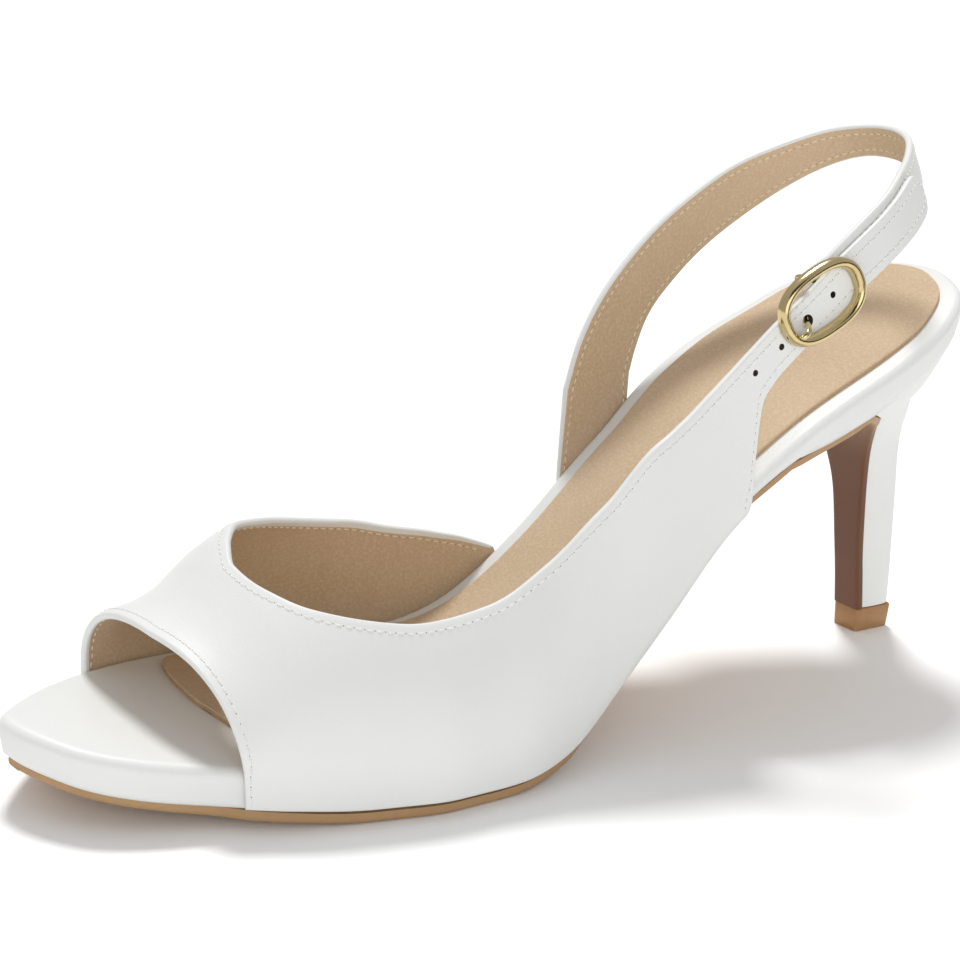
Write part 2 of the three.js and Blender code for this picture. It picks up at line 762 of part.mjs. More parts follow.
// Columns of the holed strap from the quarter through the buckle to its rounded tip
function holedStrapColumns() {
  const half = HOLED_STRAP_WIDTH / 2;
  const rows = [...Array(UPPER_ROWS + 1).keys()].map((k) => (2 * k) / UPPER_ROWS - 1);
  const flat = [-12, -6, 0].map((t) =>
    rows.map((row) => atBuckle(t, row * half - HOLED_STRAP_DROP, HOLED_LAYER)),
  );
  const backSteps = 5;
  const tipTurns = [0.35, 0.6, 0.8, 0.93, 0.99];
  const straight = HOLED_STRAP_REACH - half;
  const reach = [
    ...[...Array(backSteps).keys()].map((i) => [((i + 1) / backSteps) * straight, 1]),
    ...tipTurns.map((share) => [straight + half * share, Math.sqrt(1 - share * share)]),
  ];
  const back = reach.map(([distance, width]) => {
    const frame = slingFrame(slingStepAt(distance));
    return rows.map((row) =>
      frame.centre
        .clone()
        .addScaledVector(frame.across, row * half * width - HOLED_STRAP_DROP)
        .addScaledVector(frame.outward, HOLED_LAYER),
    );
  });
  return [...flat, ...back];
}

// Vamp, quarters and holed strap in one hollow piece
function upper() {
  const edges = [0, 1, 2, 3].map((column) => rowCurve(BAND, column, column < 2 ? BAND_CORNERS : []));
  const grid = [];
  const bandColumns = (BAND.length - 1) * UPPER_STEPS;
  for (let j = 0; j <= bandColumns; j++) {
    const [fromAlong, fromGirth, toAlong, toGirth] = edges.map((edge) => edge(j / UPPER_STEPS));
    grid.push(
      [...Array(UPPER_ROWS + 1).keys()].map((k) =>
        upperPoint(mix(fromAlong, toAlong, k / UPPER_ROWS), mix(fromGirth, toGirth, k / UPPER_ROWS)),
      ),
    );
  }
  const strap = holedStrapColumns();
  const lead = [grid[bandColumns - UPPER_STEPS], grid[bandColumns], ...strap];
  const rowLine = (k) => {
    const points = lead.map((column) => column[k]);
    return new THREE.CatmullRomCurve3(points, false, "centripetal");
  };
  const lines = lead[0].map((_, k) => rowLine(k));
  const spans = lead.length - 1;
  for (let j = UPPER_STEPS + 1; j <= spans * UPPER_STEPS; j++) {
    grid.push(lines.map((line) => line.getPoint(j / (spans * UPPER_STEPS))));
  }
  const wall = sheetSolid(grid, offsetGrid(grid, -UPPER_WALL));
  const holes = [-2, -1, 0, 1].map((place) => {
    const t = place * STRAP_HOLE_PITCH - PRONG_HOLE_PLACE;
    return punch(t, place === 0 ? PRONG_HOLE_RADIUS : STRAP_HOLE_RADIUS);
  });
  return cut(wall, holes);
}

// A round punch through the holed strap at a distance along it from the bar
function punch(t, radius) {
  const sides = 12;
  const reach = UPPER_WALL * 3;
  const frame = t > 0 ? slingFrame(slingStepAt(t)) : null;
  const at = (along, across, out) =>
    frame
      ? frame.centre
          .clone()
          .addScaledVector(frame.along, along)
          .addScaledVector(frame.across, across - HOLED_STRAP_DROP)
          .addScaledVector(frame.outward, out)
      : atBuckle(t + along, across - HOLED_STRAP_DROP, out);
  const level = (n) =>
    [...Array(sides).keys()].map((k) => {
      const angle = (2 * Math.PI * k) / sides;
      return at(radius * Math.cos(angle), radius * Math.sin(angle), n);
    });
  return loopSolid([level(HOLED_LAYER - reach), level(HOLED_LAYER + reach)]);
}

// Sling strap with its end turned round the buckle's bar
function slingStrap() {
  const across = [0, 0.25, 0.5, 0.75, 1];
  const half = SLING_END_WIDTH / 2;
  const turnRadius = BAR_RADIUS + CLEARANCE + SLING_THICKNESS;
  const tail = [9, 6, 3].map((t, i) => {
    const depth = [2 * SLING_THICKNESS + CLEARANCE, 2.6 * SLING_THICKNESS + CLEARANCE, 2 * turnRadius][i];
    return across.map((share) => atBuckle(t, half * (2 * share - 1), -depth));
  });
  const turns = 8;
  const loop = [...Array(turns + 1).keys()].map((i) => {
    const angle = Math.PI * (1 - i / turns);
    const [t, n] = [-turnRadius * Math.sin(angle), turnRadius * Math.cos(angle) - turnRadius];
    return across.map((share) => atBuckle(t, half * (2 * share - 1), n));
  });
  const strap = [];
  const steps = (SLING.length - 1) * SLING_STEPS;
  for (let j = 1; j <= steps; j++) {
    const { upper, lower } = slingEdges(j / SLING_STEPS);
    strap.push(across.map((share) => lower.clone().lerp(upper, share)));
  }
  const out = CLEARANCE + SLING_THICKNESS;
  const foot = [0.03, -0.35, -0.7, -1].map((drop) => {
    const edge = (along) => {
      const z = boardTop(along) + drop * wallDepth(along);
      const pull = tuckDepth(along) * Math.max(0, -drop) ** 3;
      return new THREE.Vector3(innerEdge(along) - out + pull, placeY(along), z);
    };
    return across.map((share) => edge(mix(SLING_FOOT_LOWER, SLING_FOOT_UPPER, share)));
  });
  const grid = [...tail, ...loop, ...strap, ...foot];
  const sheet = sheetSolid(grid, offsetGrid(grid, -SLING_THICKNESS));
  const slotHalf = PRONG_RADIUS + 2 * CLEARANCE;
  const eye = BAR_RADIUS + 2 * PRONG_RADIUS + 3 * CLEARANCE;
  const slotEnd = (t) =>
    [
      [slotHalf, CLEARANCE],
      [slotHalf, -2 * turnRadius - CLEARANCE],
      [-slotHalf, -2 * turnRadius - CLEARANCE],
      [-slotHalf, CLEARANCE],
    ].map(([w, n]) => atBuckle(t, w - HOLED_STRAP_DROP, n));
  return cut(sheet, [loopSolid([slotEnd(-2 * turnRadius), slotEnd(eye)])]);
}

// A round wire through points in the buckle's frame
function wire(points, radius) {
  const places = points.map(([t, w, n]) => new THREE.Vector3(t, w, n));
  const line = new THREE.CatmullRomCurve3(places, false, "centripetal");
  const count = WIRE_STEPS * (points.length - 1);
  const side = new THREE.Vector3(0, 1, 0);
  const axial = Math.abs(line.getTangent(0.5).y) > 0.9;
  const loops = [...Array(count + 1).keys()].map((i) => {
    const point = line.getPoint(i / count);
    const way = line.getTangent(i / count);
    const first = axial ? new THREE.Vector3(1, 0, 0) : side.clone();
    const second = way.clone().cross(first).normalize();
    return [...Array(WIRE_SIDES).keys()].map((k) => {
      const angle = (2 * Math.PI * k) / WIRE_SIDES;
      const p = point
        .clone()
        .addScaledVector(first, radius * Math.cos(angle))
        .addScaledVector(second, radius * Math.sin(angle));
      return atBuckle(p.x, p.y, p.z);
    });
  });
  return loopSolid(loops);
}

// Oval frame with a rounded face, and the bar that drops below it
function buckleFrame() {
  const section = [
    [-0.5, 0],
    [-0.5, 0.4],
    [-0.36, 0.78],
    [-0.12, 1],
    [0.12, 1],
    [0.36, 0.78],
    [0.5, 0.4],
    [0.5, 0],
  ];
  const [a, b] = [RING_LENGTH / 2 - RING_BAND / 2, RING_WIDTH / 2 - RING_BAND / 2];
  const squareness = 2.5;
  const loops = [...Array(RING_STEPS).keys()].map((i) => {
    const angle = (2 * Math.PI * i) / RING_STEPS;
    const at = (v, r) => Math.sign(v) * r * Math.abs(v) ** (2 / squareness);
    const centre = new THREE.Vector2(at(Math.cos(angle), a), at(Math.sin(angle), b));
    const outward = new THREE.Vector2(
      Math.sign(centre.x) * (Math.abs(centre.x) / a) ** (squareness - 1) / a,
      Math.sign(centre.y) * (Math.abs(centre.y) / b) ** (squareness - 1) / b,
    ).normalize();
    return section.map(([out, up]) => {
      const p = centre.clone().addScaledVector(outward, out * RING_BAND);
      p.rotateAround(new THREE.Vector2(), RING_TURN);
      return atBuckle(p.x - RING_AHEAD, p.y + RING_RAISE, RING_SEAT + up * RING_HEIGHT);
    });
  });
  const bend = 2 * BAR_RADIUS;
  const top = RING_SEAT + RING_HEIGHT / 2;
  const end = BAR_LENGTH / 2;
  const half = [
    [end, top],
    [end, bend - BAR_DEPTH],
    [end - 0.25 * bend, 0.25 * bend - BAR_DEPTH],
    [end - bend, -BAR_DEPTH],
    [end - 2 * bend, -BAR_DEPTH],
  ];
  const bar = wire(
    [
      ...half.map(([w, n]) => [0, w - BAR_DROP, n]),
      [0, -BAR_DROP, -BAR_DEPTH],
      ...half.reverse().map(([w, n]) => [0, -BAR_DROP - w, n]),
    ],
    BAR_RADIUS,
  );
  return join([loopSolid(loops, true), bar]);
}

// Prong that turns on the bar, comes up through a hole and rests on the frame
function buckleProng() {
  const eyeRadius = BAR_RADIUS + CLEARANCE + PRONG_RADIUS;
  const around = 16;
  const eye = [...Array(around).keys()].map((i) => {
    const angle = (2 * Math.PI * i) / around;
    return [...Array(WIRE_SIDES).keys()].map((k) => {
      const turn = (2 * Math.PI * k) / WIRE_SIDES;
      const r = eyeRadius + PRONG_RADIUS * Math.cos(turn);
      const across = PRONG_RADIUS * Math.sin(turn) - HOLED_STRAP_DROP;
      return atBuckle(r * Math.cos(angle), across, r * Math.sin(angle) - BAR_DEPTH);
    });
  });
  const under = -CLEARANCE - PRONG_RADIUS + CLEARANCE;
  const over = RING_SEAT + RING_HEIGHT + CLEARANCE + PRONG_RADIUS;
  const end = RING_LENGTH / 2;
  const shank = wire(
    [
      [0, 0, eyeRadius - BAR_DEPTH],
      [-2.6, 0, under],
      [-PRONG_HOLE_PLACE + 1.2, 0, under + 0.3],
      [-PRONG_HOLE_PLACE, 0, HOLED_LAYER / 2],
      [-PRONG_HOLE_PLACE - 1, 0, HOLED_LAYER + 1],
      [-end + RING_BAND + 0.6, 0, over],
      [-end + 0.9, 0, over],
    ].map(([t, w, n]) => [t, w - HOLED_STRAP_DROP, n]),
    PRONG_RADIUS,
  );
  return join([loopSolid(eye, true), shank]);
}

// Finishes
const whiteLeather = new THREE.MeshStandardMaterial({ color: 0xececea, roughness: 0.42 });
const liningLeather = new THREE.MeshStandardMaterial({ color: 0xd2b592, roughness: 0.8 });
const soleLeather = new THREE.MeshStandardMaterial({ color: 0xb4875a, roughness: 0.55 });
const liftRubber = new THREE.MeshStandardMaterial({ color: 0xa97c52, roughness: 0.6 });
const paleGold = new THREE.MeshStandardMaterial({ color: 0xd9c79a, roughness: 0.2, metalness: 1 });

const shoe = new THREE.Group();
const pieces = [
  ["outsole", outsole, soleLeather],
  ["platform_footbed", platformFootbed, whiteLeather],
  ["sock_lining", sockLining, liningLeather],
  ["heel", heel, whiteLeather],
  ["top_lift", topLift, liftRubber],
  ["upper", upper, whiteLeather],
  ["sling_strap", slingStrap, whiteLeather],
  ["buckle_frame", buckleFrame, paleGold],
  ["buckle_prong", buckleProng, paleGold],
];
for (const [name, build, material] of pieces) {
  const mesh = new THREE.Mesh(build(), material);
  mesh.name = name;
  shoe.add(mesh);
}

export default shoe;
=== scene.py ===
import math

import bmesh
import bpy
from mathutils import Matrix, Vector


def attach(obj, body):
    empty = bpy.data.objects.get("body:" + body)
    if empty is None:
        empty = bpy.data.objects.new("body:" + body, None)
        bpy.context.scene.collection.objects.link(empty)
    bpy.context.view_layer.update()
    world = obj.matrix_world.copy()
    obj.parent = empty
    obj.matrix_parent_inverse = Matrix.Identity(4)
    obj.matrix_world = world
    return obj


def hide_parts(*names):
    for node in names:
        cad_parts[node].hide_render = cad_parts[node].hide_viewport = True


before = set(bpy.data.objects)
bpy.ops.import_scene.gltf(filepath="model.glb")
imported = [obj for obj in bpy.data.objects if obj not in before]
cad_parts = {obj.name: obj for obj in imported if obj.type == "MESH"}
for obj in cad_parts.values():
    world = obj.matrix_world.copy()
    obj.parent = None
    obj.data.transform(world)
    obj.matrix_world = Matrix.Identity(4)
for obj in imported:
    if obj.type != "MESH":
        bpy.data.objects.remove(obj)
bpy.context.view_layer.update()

# Platform board. A fibre board with a shank and a thin platform filler, wrapped in
# the same off-white leather as the upper and rounded over along its upper edge.
# Everything else is built on its outline, so the sizes of the last stand here.
LENGTH = 232
BALL_WIDTH = 76
HEEL_BACK = 152
SEAT_RISE = 80.5
TOE_SPRING = 7.3
INSTEP_HEIGHT = 56
CLEARANCE = 0.3
OUTSOLE_THICKNESS = 2.2
SHANK_THICKNESS = 1.7
BOARD_FRONT_THICKNESS = 7.8
BOARD_REAR_THICKNESS = 5.2
BOARD_EDGE_RADIUS = 2.2
BOARD_LOWER_BEVEL = 0.7
OUTLINE_STEPS = 150

# along the shoe from the back of the heel, half widths as shares of the ball width
OUTLINE = [
    # along, inner, outer
    [0, 0, 0],
    [0.012, 0.15, 0.135],
    [0.03, 0.245, 0.225],
    [0.06, 0.31, 0.3],
    [0.12, 0.36, 0.37],
    [0.2, 0.36, 0.395],
    [0.28, 0.325, 0.395],
    [0.36, 0.277, 0.385],
    [0.44, 0.285, 0.408],
    [0.5, 0.307, 0.434],
    [0.56, 0.36, 0.476],
    [0.62, 0.43, 0.507],
    [0.68, 0.472, 0.507],
    [0.74, 0.475, 0.473],
    [0.82, 0.435, 0.403],
    [0.88, 0.372, 0.325],
    [0.93, 0.285, 0.26],
    [0.965, 0.195, 0.185],
    [0.988, 0.12, 0.08],
    [1, 0.052, -0.052],
]
RISE = [
    # along, share of the seat rise
    [0, 1],
    [0.03, 0.974],
    [0.06, 0.939],
    [0.12, 0.862],
    [0.2, 0.768],
    [0.28, 0.658],
    [0.36, 0.493],
    [0.44, 0.271],
    [0.5, 0.124],
    [0.53, 0.067],
    [0.56, 0.029],
    [0.59, 0.0105],
    [0.62, 0.002],
    [0.64, 0],
    [1, 0],
]
SPRING = [
    # along, share of the toe spring
    [0, 0],
    [0.685, 0],
    [0.71, 0.01],
    [0.76, 0.04],
    [0.82, 0.19],
    [0.88, 0.38],
    [0.94, 0.64],
    [1, 1],
]
THICKENING = [
    # along, share of the front thickness against the rear one
    [0, 0],
    [0.42, 0],
    [0.58, 1],
    [1, 1],
]
TUCK = [
    # along, draw-in of the lower edge in board rear thicknesses
    [0, 0],
    [0.25, 0],
    [0.31, 0.3],
    [0.37, 0.42],
    [0.46, 0.4],
    [0.56, 0.12],
    [0.63, 0],
    [0.9, 0],
    [1, 0.15],
]


def hermite(y0, y1, m0, m1, step, offset):
    s = offset / step
    s2, s3 = s * s, s * s * s
    start = (2 * s3 - 3 * s2 + 1) * y0 + (s3 - 2 * s2 + s) * step * m0
    return start + (3 * s2 - 2 * s3) * y1 + (s3 - s2) * step * m1


def table_curve(rows, column=1):
    """Smooth curve through a table by its first column, without overshoot."""
    x = [row[0] for row in rows]
    y = [row[column] for row in rows]
    slope = [(y[i + 1] - y[i]) / (x[i + 1] - x[i]) for i in range(len(x) - 1)]
    tangent = [slope[0]]
    for i in range(1, len(x) - 1):
        if slope[i - 1] * slope[i] <= 0:
            tangent.append(0)
            continue
        before, after = x[i] - x[i - 1], x[i + 1] - x[i]
        w1, w2 = 2 * after + before, after + 2 * before
        tangent.append((w1 + w2) / (w1 / slope[i - 1] + w2 / slope[i]))
    tangent.append(slope[-1])

    def curve(at):
        place = min(max(at, x[0]), x[-1])
        i = 0
        while i < len(x) - 2 and place > x[i + 1]:
            i += 1
        return hermite(y[i], y[i + 1], tangent[i], tangent[i + 1], x[i + 1] - x[i], place - x[i])

    return curve


def mix(a, b, share):
    return a + (b - a) * share


def turn_of(along):
    return math.acos(1 - 2 * min(max(along, 0), 1)) / math.pi


def along_of(turn):
    return (1 - math.cos(math.pi * turn)) / 2


outline_by_turn = [[turn_of(along), -inner, outer] for along, inner, outer in OUTLINE]
inner_share = table_curve(outline_by_turn, 1)
outer_share = table_curve(outline_by_turn, 2)
rise_share = table_curve(RISE)
spring_share = table_curve(SPRING)
thickening = table_curve(THICKENING)
tuck_share = table_curve(TUCK)
GROUND_TO_TOP = OUTSOLE_THICKNESS + CLEARANCE + BOARD_FRONT_THICKNESS


def place_y(along):
    return HEEL_BACK - along * LENGTH


def share_of(y):
    return (HEEL_BACK - y) / LENGTH


def inner_edge(along):
    return BALL_WIDTH * inner_share(turn_of(along))


def outer_edge(along):
    return BALL_WIDTH * outer_share(turn_of(along))


def board_top(along):
    return GROUND_TO_TOP + SEAT_RISE * rise_share(along) + TOE_SPRING * spring_share(along)


def board_thickness(along):
    return mix(BOARD_REAR_THICKNESS, BOARD_FRONT_THICKNESS, thickening(along))


def board_bottom(along):
    return board_top(along) - board_thickness(along)


def tuck_depth(along):
    return BOARD_REAR_THICKNESS * tuck_share(along)


def outline_point(turn, side, inset):
    """A point of the outline at a turn from heel to toe, moved inwards by an inset."""
    share = outer_share if side > 0 else inner_share
    small = 1e-3

    def at(t):
        return Vector((BALL_WIDTH * share(t), place_y(along_of(t))))

    way = (at(min(turn + small, 1)) - at(max(turn - small, 0))).normalized()
    inward = Vector((way.y * side, -way.x * side))
    if turn < small or turn > 1 - small:
        inward = Vector((0, -1 if turn < 0.5 else 1))
    return at(turn) + inward * inset


def footbed_loop(inset, height, reach=None):
    """A closed loop round the footbed. inset and height are worked out from the place along it."""
    loop = []
    steps = list(range(OUTLINE_STEPS + 1))
    for sign, run in ((1, steps), (-1, steps[1:-1][::-1])):
        for step in run:
            along, width = along_of(step / OUTLINE_STEPS), 1
            if reach:
                along, width = reach(along)
            point = outline_point(turn_of(along), sign, inset(along))
            middle = (inner_edge(along) + outer_edge(along)) / 2
            loop.append(Vector((middle + (point.x - middle) * width, point.y, height(share_of(point.y)))))
    return loop


def piece_from(name, points, faces, finishes, marks=None, sharp=40):
    """A mesh piece in the shoe's frame. Points are in millimetres, marks name a finish for each face."""
    mesh = bpy.data.meshes.new(name)
    mesh.from_pydata([point * 0.001 for point in points], [], faces)
    for finish in finishes:
        mesh.materials.append(finish)
    if marks:
        mesh.polygons.foreach_set("material_index", marks)
    mesh.validate()
    piece = bpy.data.objects.new(name, mesh)
    bpy.context.scene.collection.objects.link(piece)
    solid = bmesh.new()
    solid.from_mesh(mesh)
    bmesh.ops.remove_doubles(solid, verts=solid.verts, dist=2e-6)
    bmesh.ops.recalc_face_normals(solid, faces=solid.faces)
    if solid.calc_volume(signed=True) < 0:
        bmesh.ops.reverse_faces(solid, faces=solid.faces)
    solid.to_mesh(mesh)
    solid.free()
    mesh.shade_smooth()
    mesh.set_sharp_from_angle(angle=math.radians(sharp))
    return piece


def between(low, high, around):
    """Faces between two closed loops, given the number of each loop's first point."""
    return [(low + k, low + (k + 1) % around, high + (k + 1) % around, high + k) for k in range(around)]


def loft(loops, joined=False, mark=lambda i, k: 0, ends=0):
    """Points, faces and marks of a skin over a stack of closed loops, closed at both ends by strips."""
    around = len(loops[0])
    points = [point for loop in loops for point in loop]
    faces, marks = [], []
    for i in range(len(loops) if joined else len(loops) - 1):
        faces += between(i * around, (i + 1) % len(loops) * around, around)
        marks += [mark(i, k) for k in range(around)]
    if not joined:
        for first, turned in ((0, True), ((len(loops) - 1) * around, False)):
            for k in range(around // 2):
                corners = [k, k + 1, (around - k - 1) % around, (around - k) % around]
                corners = [first + c for c in dict.fromkeys(corners)]
                if len(corners) > 2:
                    faces.append(tuple(corners[::-1] if turned else corners))
                    marks.append(ends)
    return points, faces, marks


class Tone:
    """A shader socket that adds its maths nodes as it is used."""

    def __init__(self, finish, socket):
        self.finish = finish
        self.socket = socket

    def maths(self, operation, *values):
        return self.finish.add("ShaderNodeMath", {"operation": operation}, dict(enumerate(values)))

    def __add__(self, other):
        return self.maths("ADD", self, other)

    def __sub__(self, other):
        return self.maths("SUBTRACT", self, other)

    def __rsub__(self, other):
        return self.maths("SUBTRACT", other, self)

    def __mul__(self, other):
        return self.maths("MULTIPLY", self, other)

    __radd__ = __add__
    __rmul__ = __mul__

    def clipped(self, low, high):
        """0 below low, 1 above high, smooth between."""
        settings = {"interpolation_type": "SMOOTHSTEP"}
        return self.finish.add("ShaderNodeMapRange", settings, {0: self, 1: low, 2: high})


class Finish:
    """A material with one principled shader. constants are set on the shader's own sockets."""

    def __init__(self, name, **constants):
        self.material = bpy.data.materials.new(name)
        self.material.use_nodes = True
        self.tree = self.material.node_tree
        self.shader = self.tree.nodes["Principled BSDF"]
        for socket, value in constants.items():
            self.shader.inputs[socket.replace("_", " ")].default_value = value
        self.places = self.add("ShaderNodeTexCoord", {}, {}, "Object")

    def add(self, kind, settings, values, output=0):
        node = self.tree.nodes.new(kind)
        for key, value in settings.items():
            setattr(node, key, value)
        for key, value in values.items():
            if isinstance(value, Tone):
                self.tree.links.new(value.socket, node.inputs[key])
            else:
                node.inputs[key].default_value = value
        return Tone(self, node.outputs[output])

    def noise(self, scale, detail=3, stretch=None):
        places = self.places
        if stretch:
            places = self.add("ShaderNodeMapping", {}, {"Vector": places, "Scale": stretch})
        return self.add("ShaderNodeTexNoise", {}, {"Vector": places, "Scale": scale, "Detail": detail}, 0)

    def pebbles(self, scale):
        return self.add("ShaderNodeTexVoronoi", {}, {"Vector": self.places, "Scale": scale}, 0)

    def blend(self, share, low, high):
        values = {"Factor": share, 6: low, 7: high}
        return self.add("ShaderNodeMix", {"data_type": "RGBA"}, values, 2)

    def set(self, socket, tone):
        self.tree.links.new(tone.socket, self.shader.inputs[socket])

    def bump(self, height, strength, distance):
        values = {"Height": height, "Strength": strength, "Distance": distance}
        self.set("Normal", self.add("ShaderNodeBump", {}, values))


def colour(red, green, blue):
    """A linear colour from the red, green and blue seen, 0 to 255."""
    channels = [c / 255 for c in (red, green, blue)]
    linear = [c / 12.92 if c <= 0.04045 else ((c + 0.055) / 1.055) ** 2.4 for c in channels]
    return (*linear, 1)


# Off-white smooth leather: faint clouding, a fine pebbled grain and a soft sheen
white = Finish("white_leather", Specular_IOR_Level=0.42)
cloud = white.noise(34, 4)
grain = white.pebbles(2100) * 0.6 + white.noise(900, 5) * 0.4
white.set("Base Color", white.blend(cloud, colour(219, 220, 218), colour(226, 227, 224)))
white.set("Roughness", 0.4 + white.noise(120, 3) * 0.14)
white.bump(grain, 0.16, 0.0002)
white_leather = white.material


def board_wall(share):
    bevel = BOARD_LOWER_BEVEL if share == 1 else 0
    return footbed_loop(
        lambda along: tuck_depth(along) * share ** 1.5 + bevel,
        lambda along: mix(board_top(along) - BOARD_EDGE_RADIUS, board_bottom(along), share),
    )


def board_edge(angle):
    inset = BOARD_EDGE_RADIUS * (1 - math.cos(angle))
    drop = BOARD_EDGE_RADIUS * (1 - math.sin(angle))
    return footbed_loop(lambda along: inset, lambda along: board_top(along) - drop)


board_loops = [board_wall(share) for share in (1, 0.9, 0.75, 0.6, 0.45, 0.3, 0.15)]
board_loops += [board_edge(math.pi / 2 * step / 6) for step in range(7)]
board = piece_from("wrapped_board", *loft(board_loops)[:2], [white_leather], sharp=50)
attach(board, "root")
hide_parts("platform_footbed")

# Sock. A thin beige suede-like sheet glued on the board, short of its edge all round,
# with a curved front edge that shows in the peep and a fine darker cut edge.
SOCK_THICKNESS = 0.9
SOCK_INSET = 5.2
SOCK_FRONT = 0.804
SOCK_FRONT_DEPTH = 0.026
SOCK_EDGE = 0.35

suede = Finish("lining_suede", Specular_IOR_Level=0.2)
nap = suede.noise(26, 5)
fibre = suede.noise(1500, 6)
suede_dark = suede.blend(nap, colour(184, 158, 128), colour(206, 184, 155))
suede.set("Base Color", suede.blend(fibre.clipped(0.35, 0.75) * 0.5, suede_dark, colour(218, 199, 173)))
suede.set("Roughness", 0.78 + fibre * 0.14)
suede.bump(fibre * 0.7 + suede.noise(420, 4) * 0.3, 0.3, 0.0003)
lining_suede = suede.material

cut_edge = Finish("cut_edge", Specular_IOR_Level=0.3, Roughness=0.6)
worn = cut_edge.noise(600, 4)
cut_edge.set("Base Color", cut_edge.blend(worn, colour(168, 134, 98), colour(198, 168, 130)))
cut_edge.bump(worn, 0.3, 0.0002)
raw_edge = cut_edge.material


def sock_reach(along):
    scaled = along * (SOCK_FRONT + SOCK_FRONT_DEPTH)
    beyond = max(0, (scaled - SOCK_FRONT) / SOCK_FRONT_DEPTH)
    return scaled, math.sqrt(max(0, 1 - beyond * beyond))


def sock_loop(inset, rise):
    return footbed_loop(
        lambda along: SOCK_INSET + inset,
        lambda along: board_top(along) + CLEARANCE + rise,
        sock_reach,
    )


sock_loops = [
    sock_loop(0, -CLEARANCE * 0.9),
    sock_loop(0, SOCK_THICKNESS - SOCK_EDGE),
    sock_loop(SOCK_EDGE * 0.3, SOCK_THICKNESS - SOCK_EDGE * 0.3),
    sock_loop(SOCK_EDGE, SOCK_THICKNESS),
    sock_loop(SOCK_EDGE * 3, SOCK_THICKNESS),
]
sock_skin = loft(sock_loops, mark=lambda i, k: 1 if i < 1 else 0)
sock = piece_from("sock", *sock_skin[:2], [lining_suede, raw_edge], sock_skin[2], sharp=50)
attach(sock, "root")
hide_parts("sock_lining")

# Heel. A slim plastic heel with its flared seat, covered in the same off-white
# leather and nailed under the rear of the board.
LIFT_HEIGHT = 6
HEEL_SEAT_INSET = 0.4
HEEL_FRONT_INSET = 1.6
HEEL_DRAW_IN = (0.245, 0.28)
HEEL_HALF_WIDTH = 4.1
HEEL_STEPS = 6
HEEL_FOOT = LIFT_HEIGHT + CLEARANCE
SEAT_HEIGHT = board_bottom(0) - CLEARANCE - HEEL_FOOT
HEEL = [
    # front place and height, back place and height, half width, flare, share of the outline
    [0.0515, 0, 0.0085, 0, 1, 0, 0],
    [0.0565, 0.0975, 0.0095, 0.0975, 1, 0, 0],
    [0.0625, 0.199, 0.0125, 0.199, 1.03, 0, 0],
    [0.0716, 0.376, 0.019, 0.376, 1.2, 0.1, 0],
    [0.0793, 0.477, 0.0255, 0.49, 1.5, 0.25, 0],
    [0.088, 0.553, 0.029, 0.58, 1.98, 0.45, 0],
    [0.1056, 0.629, 0.0305, 0.66, 3.05, 0.75, 0],
    [0.127, 0.671, 0.0305, 0.73, 4.2, 1, 0],
    [0.155, 0.705, 0.028, 0.8, 5.6, 1, 0.1],
    [0.19, 0.738, 0.0215, 0.87, 6.8, 1, 0.25],
    [0.2207, 0.711, 0.0125, 0.93, 7.25, 1, 0.5],
    [0.2586, 0.67, 0.005, 0.97, 7.3, 1, 0.8],
    [0.28, 0.6456, 0.0025, 0.99, 7.3, 1, 1],
]
HEEL_SIDE = [
    # along, out on the stem, out where the seat flares
    [0, 0, 0],
    [0.02, 0.45, 0.22],
    [0.06, 0.7, 0.38],
    [0.13, 0.87, 0.53],
    [0.25, 0.96, 0.67],
    [0.4, 1, 0.79],
    [0.6, 1, 0.89],
    [0.82, 0.98, 0.97],
    [1, 0.92, 1],
]


def row_curve(rows, column, corners=()):
    """Smooth run through rows at whole numbers, broken where a corner is named."""
    last = len(rows) - 1

    def chord(i):
        return rows[i + 1][column] - rows[i][column]

    def tangent(i, ahead):
        if i == 0:
            return chord(0)
        if i == last:
            return chord(last - 1)
        if i in corners:
            return chord(i) if ahead else chord(i - 1)
        return (rows[i + 1][column] - rows[i - 1][column]) / 2

    def curve(at):
        i = min(int(at), last - 1)
        ends = rows[i][column], rows[i + 1][column]
        return hermite(*ends, tangent(i, True), tangent(i + 1, False), 1, at - i)

    return curve


def refined(rows, steps):
    """The rows of a table with smooth rows put in between."""
    curves = [row_curve(rows, column) for column in range(len(rows[0]))]
    return [[curve(i / steps) for curve in curves] for i in range((len(rows) - 1) * steps + 1)]


def heel_height(share):
    return HEEL_FOOT + share * SEAT_HEIGHT


def seat_inset(place):
    share = (place - HEEL_DRAW_IN[0]) / (HEEL_DRAW_IN[1] - HEEL_DRAW_IN[0])
    return mix(HEEL_SEAT_INSET, HEEL_FRONT_INSET, min(max(share, 0), 1))


heel_rows = refined(HEEL, HEEL_STEPS)
side_rows = refined(HEEL_SIDE, 3)


def heel_ring(front, front_up, back, back_up, width, flare, seat):
    half = HEEL_HALF_WIDTH * width
    halves = []
    for sign in (1, -1):
        side = []
        for along, stem, flared in side_rows:
            place = mix(back, front, along)
            edge = (outer_edge(place) if sign > 0 else inner_edge(place)) - sign * seat_inset(place)
            out = sign * half * mix(stem, flared, flare)
            x = mix(out, edge if along else 0, min(max(seat, 0), 1))
            side.append(Vector((x, place_y(place), heel_height(mix(back_up, front_up, along)))))
        halves.append(side)
    return halves[0] + halves[1][1:][::-1]


heel_loops = [heel_ring(*row) for row in heel_rows]
heel_loops.append([Vector((p.x, p.y, board_bottom(share_of(p.y)) - CLEARANCE * 0.1)) for p in heel_loops[-1]])
heel = piece_from("covered_heel", *loft(heel_loops)[:2], [white_leather], sharp=48)
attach(heel, "root")
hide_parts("heel")

